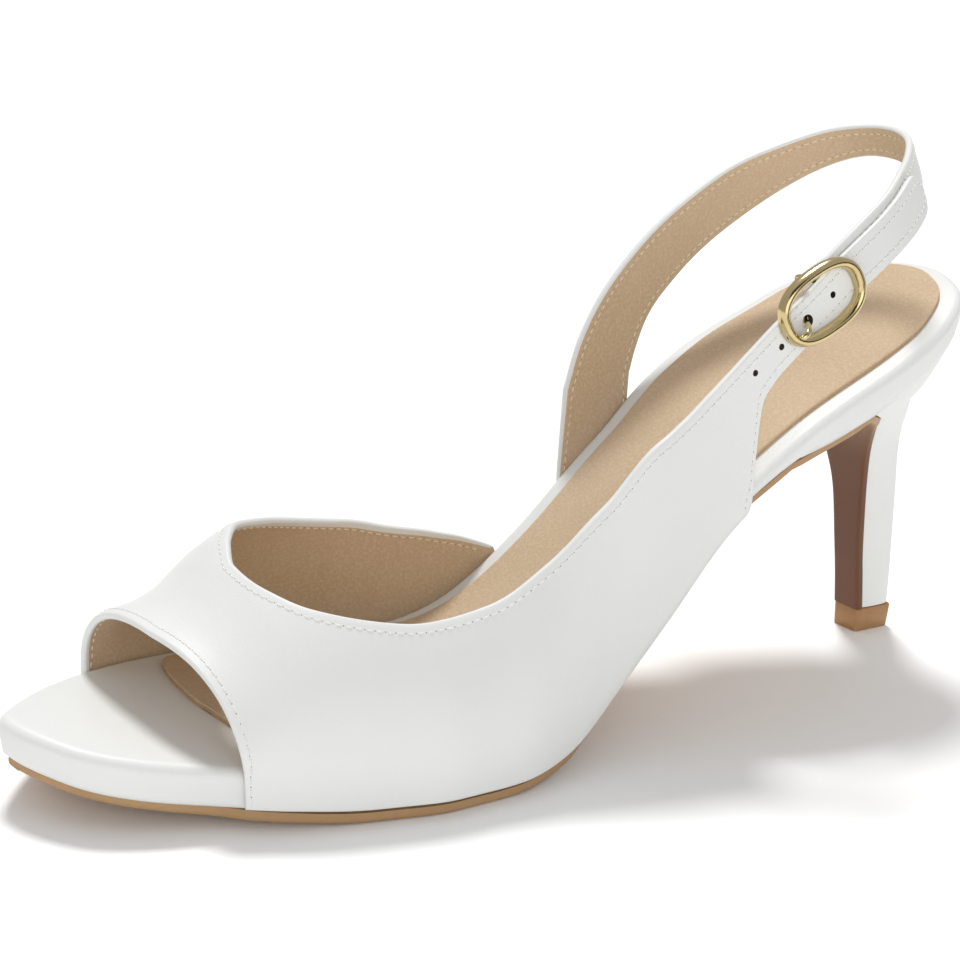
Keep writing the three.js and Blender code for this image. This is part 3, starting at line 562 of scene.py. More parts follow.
# Outsole. A tan leather sole that runs flat under the ball, up under the arch and
# down the breast of the heel in one piece, with a smooth burnished edge.
SOLE_STATIONS = 120
SOLE_START = 0.012
SOLE_ACROSS = 12
OUTSOLE_INSET = [
    # along, inset from the board's edge in board rear thicknesses
    [0, 0.29],
    [0.3, 0.3],
    [0.36, 0.5],
    [0.46, 0.5],
    [0.51, 0.36],
    [0.56, 0.02],
    [0.64, -0.13],
    [0.76, -0.13],
    [0.84, 0.05],
    [0.88, 0.3],
    [1, 0.36],
]
SKIVE = [
    # along, share of the thickness left
    [0, 1],
    [0.84, 1],
    [1, 0.55],
]
outsole_inset = table_curve(OUTSOLE_INSET)
skive_share = table_curve(SKIVE)

tan = Finish("tan_sole", Specular_IOR_Level=0.4)
mottle = tan.noise(45, 5)
streak = tan.noise(260, 4, (1, 0.15, 1))
tan_tone = tan.blend(mottle, colour(158, 124, 86), colour(178, 144, 104))
tan_streaked = tan.blend(streak.clipped(0.4, 0.8) * 0.3, tan_tone, colour(150, 112, 74))
# Toward the foot of the heel's breast the tan is blended into dark brown: partly a darker breast, partly
# painted shade on it.
breast_shade_rearward = tan.add("ShaderNodeSeparateXYZ", {}, {0: tan.places}, 1)
tan.set("Base Color", tan.blend(breast_shade_rearward.clipped(0.112, 0.134) * 0.85, tan_streaked, colour(88, 46, 26)))
tan.set("Roughness", 0.42 + mottle * 0.2)
tan.bump(tan.noise(1100, 4) * 0.5 + streak * 0.5, 0.12, 0.0002)
tan_sole = tan.material


def sole_thickness(along):
    return mix(SHANK_THICKNESS, OUTSOLE_THICKNESS, thickening(along)) * skive_share(along)


rear_inset = BOARD_REAR_THICKNESS * outsole_inset(0)
sole_path = []
for row in heel_rows:
    along, seat = row[0], min(max(row[6], 0), 1)
    half = HEEL_HALF_WIDTH * row[4]
    y, z = place_y(along), heel_height(row[1])
    ends = mix(half, outer_edge(along) - rear_inset, seat), mix(-half, inner_edge(along) + rear_inset, seat)
    sole_path.append([Vector((x, y, z)) for x in ends])
FLAP_ROWS = len(sole_path)
first_turn = turn_of(HEEL[-1][0] + SOLE_START)
for i in range(SOLE_STATIONS + 1):
    turn = mix(first_turn, 1, i / SOLE_STATIONS)
    inset = BOARD_REAR_THICKNESS * outsole_inset(along_of(turn))
    ends = [outline_point(turn, side, inset) for side in (1, -1)]
    sole_path.append([Vector((p.x, p.y, board_bottom(share_of(p.y)) - CLEARANCE)) for p in ends])


def sole_sides(side):
    """Top and bottom edge of the outsole on one side, from the foot of the breast to the toe."""
    line = [station[side] for station in sole_path]
    edges = []
    for i, point in enumerate(line):
        before, after = line[max(i - 1, 0)], line[min(i + 1, len(line) - 1)]
        way = Vector((after.y - before.y, after.z - before.z)).normalized()
        gap = CLEARANCE if i < FLAP_ROWS else 0
        deep = gap + sole_thickness(share_of(point.y))
        pull = math.copysign(1, point.x)
        levels = []
        for depth, inward in ((gap, 0), (mix(gap, deep, 0.55), 0), (mix(gap, deep, 0.85), 0.15), (deep, 0.6)):
            levels.append(point + Vector((-pull * inward, -way.y * depth, way.x * depth)))
        edges.append(levels)
    return edges


outer_side, inner_side = sole_sides(0), sole_sides(1)
sole_loops = []
for outer, inner in zip(outer_side, inner_side):
    across = [step / SOLE_ACROSS for step in range(1, SOLE_ACROSS)]
    top = [inner[0].lerp(outer[0], share) for share in across]
    under = [outer[3].lerp(inner[3], share) for share in across]
    sole_loops.append(outer + under + inner[::-1] + top)
outsole = piece_from("leather_outsole", *loft(sole_loops)[:2], [tan_sole], sharp=50)
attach(outsole, "root")
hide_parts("outsole")

# Wear block. A small tan block of hard rubber pinned under the heel.
LIFT_HALF_WIDTH = 4.2
LIFT_CORNER = 1
LIFT_TAPER = 0.25
LIFT_OVERHANG = 0.3
LIFT_EDGE = 0.25
LIFT_CORNER_STEPS = 7

block = Finish("lift_rubber", Specular_IOR_Level=0.35)
speck = block.noise(700, 4)
block.set("Base Color", block.blend(speck, colour(158, 118, 80), colour(176, 136, 96)))
block.set("Roughness", 0.5 + speck * 0.2)
block.bump(speck, 0.2, 0.0002)

lift_front = place_y(HEEL[0][0]) - SHANK_THICKNESS - CLEARANCE + LIFT_OVERHANG
lift_back = place_y(HEEL[0][2])


def lift_loop(inset, z):
    loop = []
    corners = ((1, lift_back, 0), (1, lift_front, -0.5), (-1, lift_front, -1), (-1, lift_back, 0.5))
    for sign, y, start in corners:
        away = LIFT_CORNER + inset
        cx = sign * (LIFT_HALF_WIDTH - away)
        cy = y + (-away if y == lift_back else away)
        for step in range(LIFT_CORNER_STEPS + 1):
            angle = math.pi * (start + 0.5 * (1 - step / LIFT_CORNER_STEPS))
            loop.append(Vector((cx + LIFT_CORNER * math.cos(angle), cy + LIFT_CORNER * math.sin(angle), z)))
    return loop


lift_levels = [(LIFT_TAPER + LIFT_EDGE, 0), (LIFT_TAPER, LIFT_EDGE), (0, LIFT_HEIGHT - LIFT_EDGE)]
lift_levels.append((LIFT_EDGE, LIFT_HEIGHT))
lift_points = [point for inset, z in lift_levels for point in lift_loop(inset, z)]
lift_around = 4 * (LIFT_CORNER_STEPS + 1)
lift_top = 3 * lift_around
lift_faces = [tuple(range(lift_around)), tuple(range(lift_top, lift_top + lift_around))]
for low in range(0, lift_top, lift_around):
    lift_faces += between(low, low + lift_around, lift_around)
lift = piece_from("wear_block", lift_points, lift_faces, [block.material], sharp=50)
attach(lift, "root")
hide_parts("top_lift")

# Upper. Vamp, quarters and the holed strap are cut from white leather, backed with the
# beige lining and folded over at every edge, so the rim is white on both sides.
UPPER_WALL = 1.6
STRAP_LIFT = 30
SLING_THICKNESS = 1.6
HOLED_STRAP_WIDTH = 9.4
HOLED_STRAP_DROP = 1.1
HOLED_STRAP_REACH = 43
HOLED_STRAP_LEAD = (-12, -6, 0)
STRAP_HOLE_RADIUS = 0.7
PRONG_HOLE_RADIUS = 1.4
STRAP_HOLE_PITCH = 8.2
PRONG_HOLE_PLACE = 5.3
SIDE_FULLNESS = 2.3
FEATHER = 1.15
HOLED_LAYER = CLEARANCE + UPPER_WALL
UPPER_ROWS = 30
UPPER_STEPS = 7
LEAD_STEPS = 3
RIM_ROUND = 0.55
RIM_STEPS = 6
CREST = [
    # along, share of the instep height
    [0.3, 1.8],
    [0.46, 1.8],
    [0.52, 1.4],
    [0.58, 1],
    [0.64, 0.78],
    [0.7, 0.705],
    [0.76, 0.66],
    [0.79, 0.605],
    [0.81, 0.54],
    [0.825, 0.475],
    [0.84, 0.415],
    [0.855, 0.37],
    [0.872, 0.335],
    [0.92, 0.25],
]
INNER_SIDE = [
    # along, share of the side fullness
    [0, 1],
    [0.74, 1],
    [0.79, 0.85],
    [0.82, 0.72],
    [0.85, 0.92],
    [0.88, 1.3],
    [1, 1.3],
]
WRAP = [
    # along, reach down beside the outsole in shank thicknesses
    [0, 0.6],
    [0.34, 0.6],
    [0.38, 0.8],
    [0.44, 0.8],
    [0.5, 0.25],
    [0.55, -0.1],
    [0.62, -0.3],
    [1, -0.3],
]
BAND = [
    # from along, from girth, to along, to girth
    [0.452, -FEATHER, 0.462, -1],
    [0.5, -FEATHER, 0.492, -0.94],
    [0.56, -FEATHER, 0.535, -0.842],
    [0.63, -FEATHER, 0.58, -0.725],
    [0.7, -FEATHER, 0.628, -0.59],
    [0.77, -FEATHER, 0.672, -0.498],
    [0.83, -FEATHER, 0.712, -0.403],
    [0.879, -FEATHER, 0.74, -0.35],
    [0.881, -1, 0.758, -0.3],
    [0.883, -0.68, 0.776, -0.222],
    [0.883, -0.34, 0.792, -0.135],
    [0.88, 0, 0.804, -0.035],
    [0.873, 0.3, 0.8075, 0.085],
    [0.866, 0.6, 0.804, 0.205],
    [0.858, 1, 0.793, 0.33],
    [0.856, FEATHER, 0.775, 0.416],
    [0.816, FEATHER, 0.75, 0.478],
    [0.76, FEATHER, 0.714, 0.524],
    [0.7, FEATHER, 0.676, 0.543],
    [0.64, FEATHER, 0.637, 0.556],
    [0.58, FEATHER, 0.597, 0.576],
    [0.52, FEATHER, 0.555, 0.622],
    [0.46, FEATHER, 0.51, 0.693],
    [0.4, FEATHER, 0.468, 0.744],
    [0.345, FEATHER, 0.438, 0.761],
    [0.347, 1, 0.415, 0.771],
    [0.348, 0.95, 0.395, 0.78],
    [0.345, 0.885, 0.378, 0.786],
    [0.333, 0.869, 0.362, 0.788],
]
BAND_CORNERS = (7, 15, 24)
SLING = [
    # upper along, side, up, lower along, side, up
    [0.297, 0.37, 1.154, 0.2737, 0.386, 0.815],
    [0.269, 0.37, 1.23, 0.243, 0.391, 0.885],
    [0.228, 0.358, 1.3, 0.203, 0.388, 0.925],
    [0.192, 0.33, 1.335, 0.167, 0.36, 0.985],
    [0.157, 0.275, 1.36, 0.137, 0.305, 1],
    [0.12, 0.197, 1.35, 0.104, 0.222, 1],
    [0.088, 0.1, 1.325, 0.073, 0.114, 1],
    [0.073, -0.013, 1.307, 0.058, -0.015, 1],
    [0.076, -0.138, 1.293, 0.06, -0.151, 0.987],
    [0.098, -0.247, 1.29, 0.079, -0.27, 0.92],
    [0.141, -0.316, 1.287, 0.112, -0.349, 0.84],
    [0.191, -0.349, 1.27, 0.155, -0.384, 0.753],
    [0.248, -0.362, 1.19, 0.203, -0.397, 0.65],
    [0.296, -0.362, 1.1, 0.241, -0.395, 0.53],
    [0.339, -0.355, 0.98, 0.27, -0.38, 0.42],
    [0.366, -0.346, 0.8, 0.288, -0.362, 0.26],
    [0.383, -0.332, 0.55, 0.298, -0.348, 0.11],
]
crest_share = table_curve(CREST)
inner_fullness = table_curve(INNER_SIDE)
wrap_share = table_curve(WRAP)
sling_columns = [row_curve(SLING, column) for column in range(6)]


def wall_depth(along):
    return board_thickness(along) + SHANK_THICKNESS * wrap_share(along)


def upper_point(along, girth):
    """A point of the outer face at a place along the shoe and a girth round it."""
    side = -1 if girth < 0 else 1
    edge = -inner_edge(along) if girth < 0 else outer_edge(along)
    half = edge + CLEARANCE + UPPER_WALL
    turn = min(abs(girth), 1) * math.pi / 2
    down = max(0, (abs(girth) - 1) / (FEATHER - 1))
    depth = down * wall_depth(along)
    up = INSTEP_HEIGHT * crest_share(along) * math.cos(turn)
    fullness = SIDE_FULLNESS * (inner_fullness(along) if side < 0 else 1)
    out = half * math.sin(turn) ** (2 / fullness) - 0.9 * tuck_depth(along) * down**3
    return Vector((side * out, place_y(along), board_top(along) + (-depth if depth > 0 else up)))


def sling_edges(step):
    """Upper and lower edge of the sling strap's outer face at a step along its table."""
    a, b, c, d, e, f = [column(step) for column in sling_columns]
    ends = []
    for along, side, up in ((a, b, c), (d, e, f)):
        ends.append(Vector((side * BALL_WIDTH, place_y(along), board_top(along) + up * STRAP_LIFT)))
    return ends


def sling_middle(step):
    upper, lower = sling_edges(step)
    return upper.lerp(lower, 0.5)


def sling_frame(step):
    """Middle, way along, way across and way out of the sling strap at a step."""
    upper, lower = sling_edges(step)
    along = (sling_middle(step + 1e-3) - sling_middle(max(step - 1e-3, 0))).normalized()
    across = (upper - lower).normalized()
    return sling_middle(step), along, across, along.cross(across).normalized()


seat_centre, seat_back, seat_up, seat_out = sling_frame(0)
seat_back = seat_up.cross(seat_out).normalized()


def at_buckle(t, w, n):
    """A point t back along the strap, w up across it and n away from the foot."""
    return seat_centre + seat_back * t + seat_up * w + seat_out * n


sling_lengths = [[0, 0]]
for i in range(1, (len(SLING) - 1) * 10):
    gone, before = sling_lengths[-1]
    sling_lengths.append([gone + (sling_middle(before) - sling_middle(i / 10)).length, i / 10])
sling_step_at = table_curve(sling_lengths)


def holed_strap_columns():
    """Columns of the holed strap from the quarter through the buckle to its rounded tip."""
    half = HOLED_STRAP_WIDTH / 2
    rows = [2 * k / UPPER_ROWS - 1 for k in range(UPPER_ROWS + 1)]
    columns = []
    for t in HOLED_STRAP_LEAD:
        columns.append([at_buckle(t, row * half - HOLED_STRAP_DROP, HOLED_LAYER) for row in rows])
    straight = HOLED_STRAP_REACH - half
    reach = [((i + 1) / 5 * straight, 1) for i in range(5)]
    for share in (0.35, 0.6, 0.8, 0.93, 0.99):
        reach.append((straight + half * share, math.sqrt(1 - share * share)))
    for distance, width in reach:
        centre, _, across, outward = sling_frame(sling_step_at(distance))
        ways = [row * half * width - HOLED_STRAP_DROP for row in rows]
        columns.append([centre + across * way + outward * HOLED_LAYER for way in ways])
    return columns


def smooth_line(points, at):
    """A point at a share of a centripetal curve through points."""
    last = len(points) - 1
    place = last * at
    i = min(int(place), last - 1)
    weight = place - i
    p1, p2 = points[i], points[i + 1]
    p0 = points[i - 1] if i > 0 else points[0] * 2 - points[1]
    p3 = points[i + 2] if i + 2 <= last else points[last] * 2 - points[last - 1]
    d0, d1, d2 = [math.sqrt((b - a).length) for a, b in ((p0, p1), (p1, p2), (p2, p3))]
    d1 = d1 if d1 > 1e-4 else 1
    d0 = d0 if d0 > 1e-4 else d1
    d2 = d2 if d2 > 1e-4 else d1
    m1 = ((p1 - p0) / d0 - (p2 - p0) / (d0 + d1) + (p2 - p1) / d1) * d1
    m2 = ((p2 - p1) / d1 - (p3 - p1) / (d1 + d2) + (p3 - p2) / d2) * d1
    return hermite(p1, p2, m1, m2, 1, weight)


def sheet_normals(grid):
    """Unit normals of a grid of columns."""
    last, rows = len(grid) - 1, len(grid[0]) - 1
    normals = []
    for j, column in enumerate(grid):
        ahead, behind = grid[min(j + 1, last)], grid[max(j - 1, 0)]
        normals.append([
            (ahead[k] - behind[k]).cross(column[min(k + 1, rows)] - column[max(k - 1, 0)]).normalized()
            for k in range(rows + 1)
        ])
    return normals


def walled_sheet(grid, wall):
    """Loops round a leather sheet, one for each column, with both long rims rounded over."""
    normals = sheet_normals(grid)
    rows = len(grid[0]) - 1
    angles = [math.pi * step / RIM_STEPS for step in range(RIM_STEPS + 1)]
    loops = []
    for column, out in zip(grid, normals):
        top = (column[rows] - column[rows - 1]).normalized()
        low = (column[0] - column[1]).normalized()
        rims = []
        for point, normal, way in ((column[rows], out[rows], top), (column[0], out[0], low)):
            centre = point - normal * wall / 2 - way * RIM_ROUND
            rim = []
            for a in angles:
                rim.append(centre + normal * (wall / 2 * math.cos(a)) + way * (RIM_ROUND * math.sin(a)))
            rims.append(rim)
        outside = column[1:rows]
        inside = [column[k] - out[k] * wall for k in range(1, rows)]
        loops.append(outside + rims[0] + inside[::-1] + rims[1][::-1])
    return loops


# The edges of the holed strap run on from the quarter's corner in one sweep
band_edges = [row_curve(BAND, column, BAND_CORNERS if column < 2 else ()) for column in range(4)]
band_last = (len(BAND) - 1) * UPPER_STEPS


def band_column(j):
    from_along, from_girth, to_along, to_girth = [edge(j) for edge in band_edges]
    shares = [k / UPPER_ROWS for k in range(UPPER_ROWS + 1)]
    return [upper_point(mix(from_along, to_along, s), mix(from_girth, to_girth, s)) for s in shares]


upper_grid = [band_column(j / UPPER_STEPS) for j in range(band_last + 1)]
lead = [band_column(len(BAND) - 2), band_column(len(BAND) - 1), *holed_strap_columns()]
spans = len(lead) - 1
for j in range(LEAD_STEPS + 1, spans * LEAD_STEPS + 1):
    share = j / (spans * LEAD_STEPS)
    upper_grid.append([smooth_line([column[k] for column in lead], share) for k in range(UPPER_ROWS + 1)])

upper_loops = walled_sheet(upper_grid, UPPER_WALL)
LINING_FIRST = UPPER_ROWS - 1 + RIM_STEPS
LINING_LAST = LINING_FIRST + UPPER_ROWS


def upper_mark(i, k):
    """The lining covers the inner face between the two folded rims."""
    return 1 if LINING_FIRST < k < LINING_LAST - 1 else 0


upper_skin = loft(upper_loops, mark=upper_mark)
# The walls of the punched holes are near black: mostly painted shade for the dark inside of each hole, on a
# dark cut edge.
hole_shade = Finish("punched_hole_shade", Specular_IOR_Level=0.2, Roughness=0.8)
hole_shade_mottle = hole_shade.noise(900, 3)
hole_shade.set("Base Color", hole_shade.blend(hole_shade_mottle, colour(48, 42, 36), colour(78, 68, 58)))
upper_materials = [white_leather, lining_suede, hole_shade.material]
upper = piece_from("upper_leather", *upper_skin[:2], upper_materials, upper_skin[2], sharp=55)


def bored(piece, cutter):
    """Cuts a closed mesh out of a piece and leaves a plain mesh."""
    cutting = piece.modifiers.new("bore", "BOOLEAN")
    cutting.operation = "DIFFERENCE"
    cutting.solver = "EXACT"
    cutting.object = cutter
    solved = piece.evaluated_get(bpy.context.evaluated_depsgraph_get())
    result = bpy.data.meshes.new_from_object(solved)
    piece.modifiers.clear()
    old = piece.data
    piece.data = result
    result.name = piece.name
    bpy.data.meshes.remove(old)
    bpy.data.objects.remove(cutter)
    piece.data.shade_smooth()
    piece.data.set_sharp_from_angle(angle=math.radians(50))


PUNCH_SIDES = 24
ring = [2 * math.pi * k / PUNCH_SIDES for k in range(PUNCH_SIDES)]
punch_points, punch_faces = [], []
for place in (-2, -1, 0, 1):
    t = place * STRAP_HOLE_PITCH - PRONG_HOLE_PLACE
    radius = PRONG_HOLE_RADIUS if place == 0 else STRAP_HOLE_RADIUS
    centre, back, across, outward = at_buckle(t, 0, 0), seat_back, seat_up, seat_out
    if t > 0:
        centre, back, across, outward = sling_frame(sling_step_at(t))
    centre = centre - across * HOLED_STRAP_DROP
    low = len(punch_points)
    high = low + PUNCH_SIDES
    for n in (HOLED_LAYER - UPPER_WALL * 3, HOLED_LAYER + UPPER_WALL * 3):
        for a in ring:
            to_side = back * (radius * math.cos(a))
            punch_points.append(centre + to_side + across * (radius * math.sin(a)) + outward * n)
    punch_faces += [tuple(range(low, high)), tuple(range(high, high + PUNCH_SIDES))]
    punch_faces += between(low, high, PUNCH_SIDES)
bored(upper, piece_from("punch", punch_points, punch_faces, upper_materials, [2] * len(punch_faces)))
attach(upper, "root")
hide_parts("upper")

# Sling strap. Two bonded layers, white outside and beige inside, that start beside the
# board on the inner side, run round the heel and end turned round the buckle's bar.
SLING_END_WIDTH = 8.2
SLING_FOOT_UPPER = 0.39
SLING_FOOT_LOWER = 0.303
BAR_RADIUS = 0.7
PRONG_RADIUS = 0.65
SLING_ROWS = 14
SLING_STEPS = 8
SLING_TAIL = ((9, 2), (6, 2.6), (3, 0))
TURN_STEPS = 12

turn_radius = BAR_RADIUS + CLEARANCE + SLING_THICKNESS
end_half = SLING_END_WIDTH / 2
sling_shares = [k / SLING_ROWS for k in range(SLING_ROWS + 1)]
sling_grid = []
for t, depth in SLING_TAIL:
    deep = depth * SLING_THICKNESS + CLEARANCE if depth else 2 * turn_radius
    sling_grid.append([at_buckle(t, end_half * (2 * share - 1), -deep) for share in sling_shares])
for i in range(TURN_STEPS + 1):
    angle = math.pi * (1 - i / TURN_STEPS)
    t, n = -turn_radius * math.sin(angle), turn_radius * math.cos(angle) - turn_radius
    sling_grid.append([at_buckle(t, end_half * (2 * share - 1), n) for share in sling_shares])
for j in range(SLING_STEPS // 3, (len(SLING) - 1) * SLING_STEPS + 1):
    high, low = sling_edges(j / SLING_STEPS)
    sling_grid.append([low.lerp(high, share) for share in sling_shares])
for drop in (0.03, -0.35, -0.7, -1):
    column = []
    for share in sling_shares:
        along = mix(SLING_FOOT_LOWER, SLING_FOOT_UPPER, share)
        pull = tuck_depth(along) * max(0, -drop) ** 3
        x = inner_edge(along) - CLEARANCE - SLING_THICKNESS + pull
        column.append(Vector((x, place_y(along), board_top(along) + drop * wall_depth(along))))
    sling_grid.append(column)

SLING_LINING = SLING_ROWS - 1 + RIM_STEPS


def sling_mark(i, k):
    return 1 if SLING_LINING <= k <= SLING_LINING + SLING_ROWS - 1 else 0


sling_skin = loft(walled_sheet(sling_grid, SLING_THICKNESS), mark=sling_mark)
sling_materials = [white_leather, lining_suede]
sling = piece_from("sling_strap_leather", *sling_skin[:2], sling_materials, sling_skin[2], sharp=55)
slot_half = PRONG_RADIUS + 2 * CLEARANCE
slot_eye = BAR_RADIUS + 2 * PRONG_RADIUS + 3 * CLEARANCE
slot_depth = 2 * turn_radius + CLEARANCE
slot_points = []
for t in (-2 * turn_radius, slot_eye):
    for w, n in ((1, CLEARANCE), (1, -slot_depth), (-1, -slot_depth), (-1, CLEARANCE)):
        slot_points.append(at_buckle(t, w * slot_half - HOLED_STRAP_DROP, n))
slot_faces = [(0, 1, 2, 3), (4, 5, 6, 7)] + between(0, 4, 4)
bored(sling, piece_from("slot", slot_points, slot_faces, [white_leather]))
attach(sling, "root")
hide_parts("sling_strap")

# Stitching. One row of short stitches runs two millimetres inside every edge of the
# upper and the straps: white thread with fine needle holes outside, sand thread inside.
STITCH_PITCH = 2.0
STITCH_FROM_EDGE = 2.1
THREAD_LENGTH = 1.45
THREAD_RADIUS = 0.2
NEEDLE_HOLE = 0.17
THREAD_SINK = 0.02


def thread_finish(name, dark, light):
    """Twisted thread in two tones."""
    thread = Finish(name, Specular_IOR_Level=0.3)
    twist = thread.noise(2600, 3)
    thread.set("Base Color", thread.blend(twist, dark, light))
    thread.set("Roughness", 0.6 + twist * 0.2)
    thread.bump(twist, 0.4, 0.0001)
    return thread


white_thread = thread_finish("white_thread", colour(214, 212, 204), colour(240, 239, 234))
sand_thread = thread_finish("sand_thread", colour(214, 194, 158), colour(240, 228, 202))
# Needle holes are drawn as flat grey dots: painted shade for the inside of each tiny hole.
needle_shade = Finish("needle_hole_shade", Specular_IOR_Level=0.1, Roughness=0.9)
shade = needle_shade.noise(1800, 2)
needle_shade.set("Base Color", needle_shade.blend(shade, colour(132, 124, 112), colour(158, 150, 138)))


def stitch_tree():
    """Thread and needle holes along a line of edges. Each point's lift says which way is out."""
    tree = bpy.data.node_groups.new("stitch_row", "GeometryNodeTree")
    sockets = {
        "Geometry": ("Line",),
        "Float": ("Pitch", "Thread Length", "Thread Radius", "Hole Radius"),
        "Material": ("Thread", "Hole"),
    }
    for kind, names in sockets.items():
        for name in names:
            tree.interface.new_socket(name, in_out="INPUT", socket_type="NodeSocket" + kind)
    tree.interface.new_socket("Stitches", in_out="OUTPUT", socket_type="NodeSocketGeometry")

    def add(kind, values, **settings):
        node = tree.nodes.new(kind)
        for key, value in settings.items():
            setattr(node, key, value)
        for key, value in values.items():
            if isinstance(value, bpy.types.NodeSocket):
                tree.links.new(value, node.inputs[key])
            else:
                node.inputs[key].default_value = value
        return node

    given = add("NodeGroupInput", {}).outputs
    curve = add("GeometryNodeMeshToCurve", {"Mesh": given["Line"]}).outputs["Curve"]
    rowing = {"Curve": curve, "Length": given["Pitch"]}
    rowed = add("GeometryNodeCurveToPoints", rowing, mode="LENGTH").outputs
    lift = add("GeometryNodeInputNamedAttribute", {"Name": "lift"}, data_type="FLOAT_VECTOR").outputs
    level = add(
        "FunctionNodeAlignRotationToVector",
        {"Vector": lift["Attribute"]},
        axis="Z",
    ).outputs["Rotation"]
    turn = add(
        "FunctionNodeAlignRotationToVector",
        {"Rotation": level, "Vector": rowed["Tangent"]},
        axis="X",
        pivot_axis="Z",
    ).outputs["Rotation"]
    kept = add(
        "GeometryNodeStoreNamedAttribute",
        {"Geometry": rowed["Points"], "Name": "turn", "Value": turn},
        data_type="QUATERNION",
        domain="POINT",
    ).outputs["Geometry"]
    half = add("ShaderNodeMath", {0: given["Pitch"], 1: 0.5}, operation="MULTIPLY").outputs[0]
    ahead = add("ShaderNodeVectorMath", {0: rowed["Tangent"], "Scale": half}, operation="SCALE").outputs[0]
    between = add("GeometryNodeSetPosition", {"Geometry": kept, "Offset": ahead}).outputs["Geometry"]
    stored = add("GeometryNodeInputNamedAttribute", {"Name": "turn"}, data_type="QUATERNION").outputs
    ball = add("GeometryNodeMeshUVSphere", {"Segments": 8, "Rings": 5, "Radius": 1}).outputs["Mesh"]
    long = add("ShaderNodeMath", {0: given["Thread Length"], 1: 0.5}, operation="MULTIPLY").outputs[0]
    thick, wide = given["Thread Radius"], given["Hole Radius"]
    thread_size = add("ShaderNodeCombineXYZ", {0: long, 1: thick, 2: thick}).outputs[0]
    thin = add("ShaderNodeMath", {0: wide, 1: 0.25}, operation="MULTIPLY").outputs[0]
    hole_size = add("ShaderNodeCombineXYZ", {0: wide, 1: wide, 2: thin}).outputs[0]
    both = add("GeometryNodeJoinGeometry", {})
    for points, size, finish in ((between, thread_size, "Thread"), (kept, hole_size, "Hole")):
        shaped = add("GeometryNodeTransform", {"Geometry": ball, "Scale": size}).outputs["Geometry"]
        placed = add(
            "GeometryNodeInstanceOnPoints",
            {"Points": points, "Instance": shaped, "Rotation": stored["Attribute"]},
        ).outputs["Instances"]
        real = add("GeometryNodeRealizeInstances", {"Geometry": placed}).outputs["Geometry"]
        painted = add("GeometryNodeSetMaterial", {"Geometry": real, "Material": given[finish]})
        tree.links.new(painted.outputs["Geometry"], both.inputs[0])
    smooth = add("GeometryNodeSetShadeSmooth", {"Geometry": both.outputs[0]}).outputs[0]
    leave = tree.nodes.new("NodeGroupOutput")
    tree.links.new(smooth, leave.inputs[0])
    return tree


stitch_rows = stitch_tree()
stitch_sockets = [item for item in stitch_rows.interface.items_tree if item.in_out == "INPUT"]
stitch_inputs = {item.name: item.identifier for item in stitch_sockets}


def rim_line(grid, wall, high, first, last, inside=False):
    """A line of points and ways out along one rim of a sheet, at the stitching distance from it."""
    normals = sheet_normals(grid)
    line = []
    for j in range(first, last + 1):
        column = grid[j]
        run = list(range(len(column)))[:: -1 if high else 1]
        left = STITCH_FROM_EDGE
        for a, b in zip(run, run[1:]):
            step = (column[b] - column[a]).length
            if step >= left:
                share = left / step
                point = column[a].lerp(column[b], share)
                out = normals[j][a].lerp(normals[j][b], share).normalized()
                deep = wall - THREAD_SINK if inside else THREAD_SINK
                line.append((point - out * deep, -out if inside else out))
                break
            left -= step
    return line


def stitched(name, lines, thread):
    """Sews rows of stitches as one piece."""
    points, edges, lifts = [], [], []
    for line in lines:
        base = len(points)
        points += [point * 0.001 for point, _ in line]
        lifts += [out for _, out in line]
        edges += [(base + i, base + i + 1) for i in range(len(line) - 1)]
    mesh = bpy.data.meshes.new(name + "_line")
    mesh.from_pydata(points, edges, [])
    lift = mesh.attributes.new("lift", "FLOAT_VECTOR", "POINT")
    lift.data.foreach_set("vector", [value for out in lifts for value in out])
    row = bpy.data.objects.new(name + "_line", mesh)
    bpy.context.scene.collection.objects.link(row)
    sewing = row.modifiers.new("stitches", "NODES")
    sewing.node_group = stitch_rows
    for key, value in (
        ("Pitch", STITCH_PITCH * 0.001),
        ("Thread Length", THREAD_LENGTH * 0.001),
        ("Thread Radius", THREAD_RADIUS * 0.001),
        ("Hole Radius", NEEDLE_HOLE * 0.001),
        ("Thread", thread.material),
        ("Hole", needle_shade.material),
    ):
        sewing[stitch_inputs[key]] = value
    solved = row.evaluated_get(bpy.context.evaluated_depsgraph_get())
    sewn = bpy.data.objects.new(name, bpy.data.meshes.new_from_object(solved))
    bpy.context.scene.collection.objects.link(sewn)
    bpy.data.objects.remove(row)
    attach(sewn, "root")
    return sewn


last_column = len(upper_grid) - 1
strap_tip = last_column - 3 * LEAD_STEPS
peep_first, peep_last = BAND_CORNERS[0] * UPPER_STEPS, BAND_CORNERS[1] * UPPER_STEPS
rear_first = BAND_CORNERS[2] * UPPER_STEPS
upper_outside = [
    rim_line(upper_grid, UPPER_WALL, True, 4, strap_tip),
    rim_line(upper_grid, UPPER_WALL, False, peep_first + 1, peep_last - 1),
    rim_line(upper_grid, UPPER_WALL, False, rear_first + 3, strap_tip),
]
upper_inside = [
    rim_line(upper_grid, UPPER_WALL, True, 4, strap_tip, True),
    rim_line(upper_grid, UPPER_WALL, False, peep_first + 1, peep_last - 1, True),
    rim_line(upper_grid, UPPER_WALL, False, rear_first + 3, band_last, True),
]
stitched("upper_outer_stitches", upper_outside, white_thread)
stitched("upper_lining_stitches", upper_inside, sand_thread)
sling_first, sling_last = 17, len(sling_grid) - 3
for name, inner, thread in (
    ("sling_outer_stitches", False, white_thread),
    ("sling_lining_stitches", True, sand_thread),
):
    rows = []
    for high in (True, False):
        rows.append(rim_line(sling_grid, SLING_THICKNESS, high, sling_first, sling_last, inner))
    stitched(name, rows, thread)

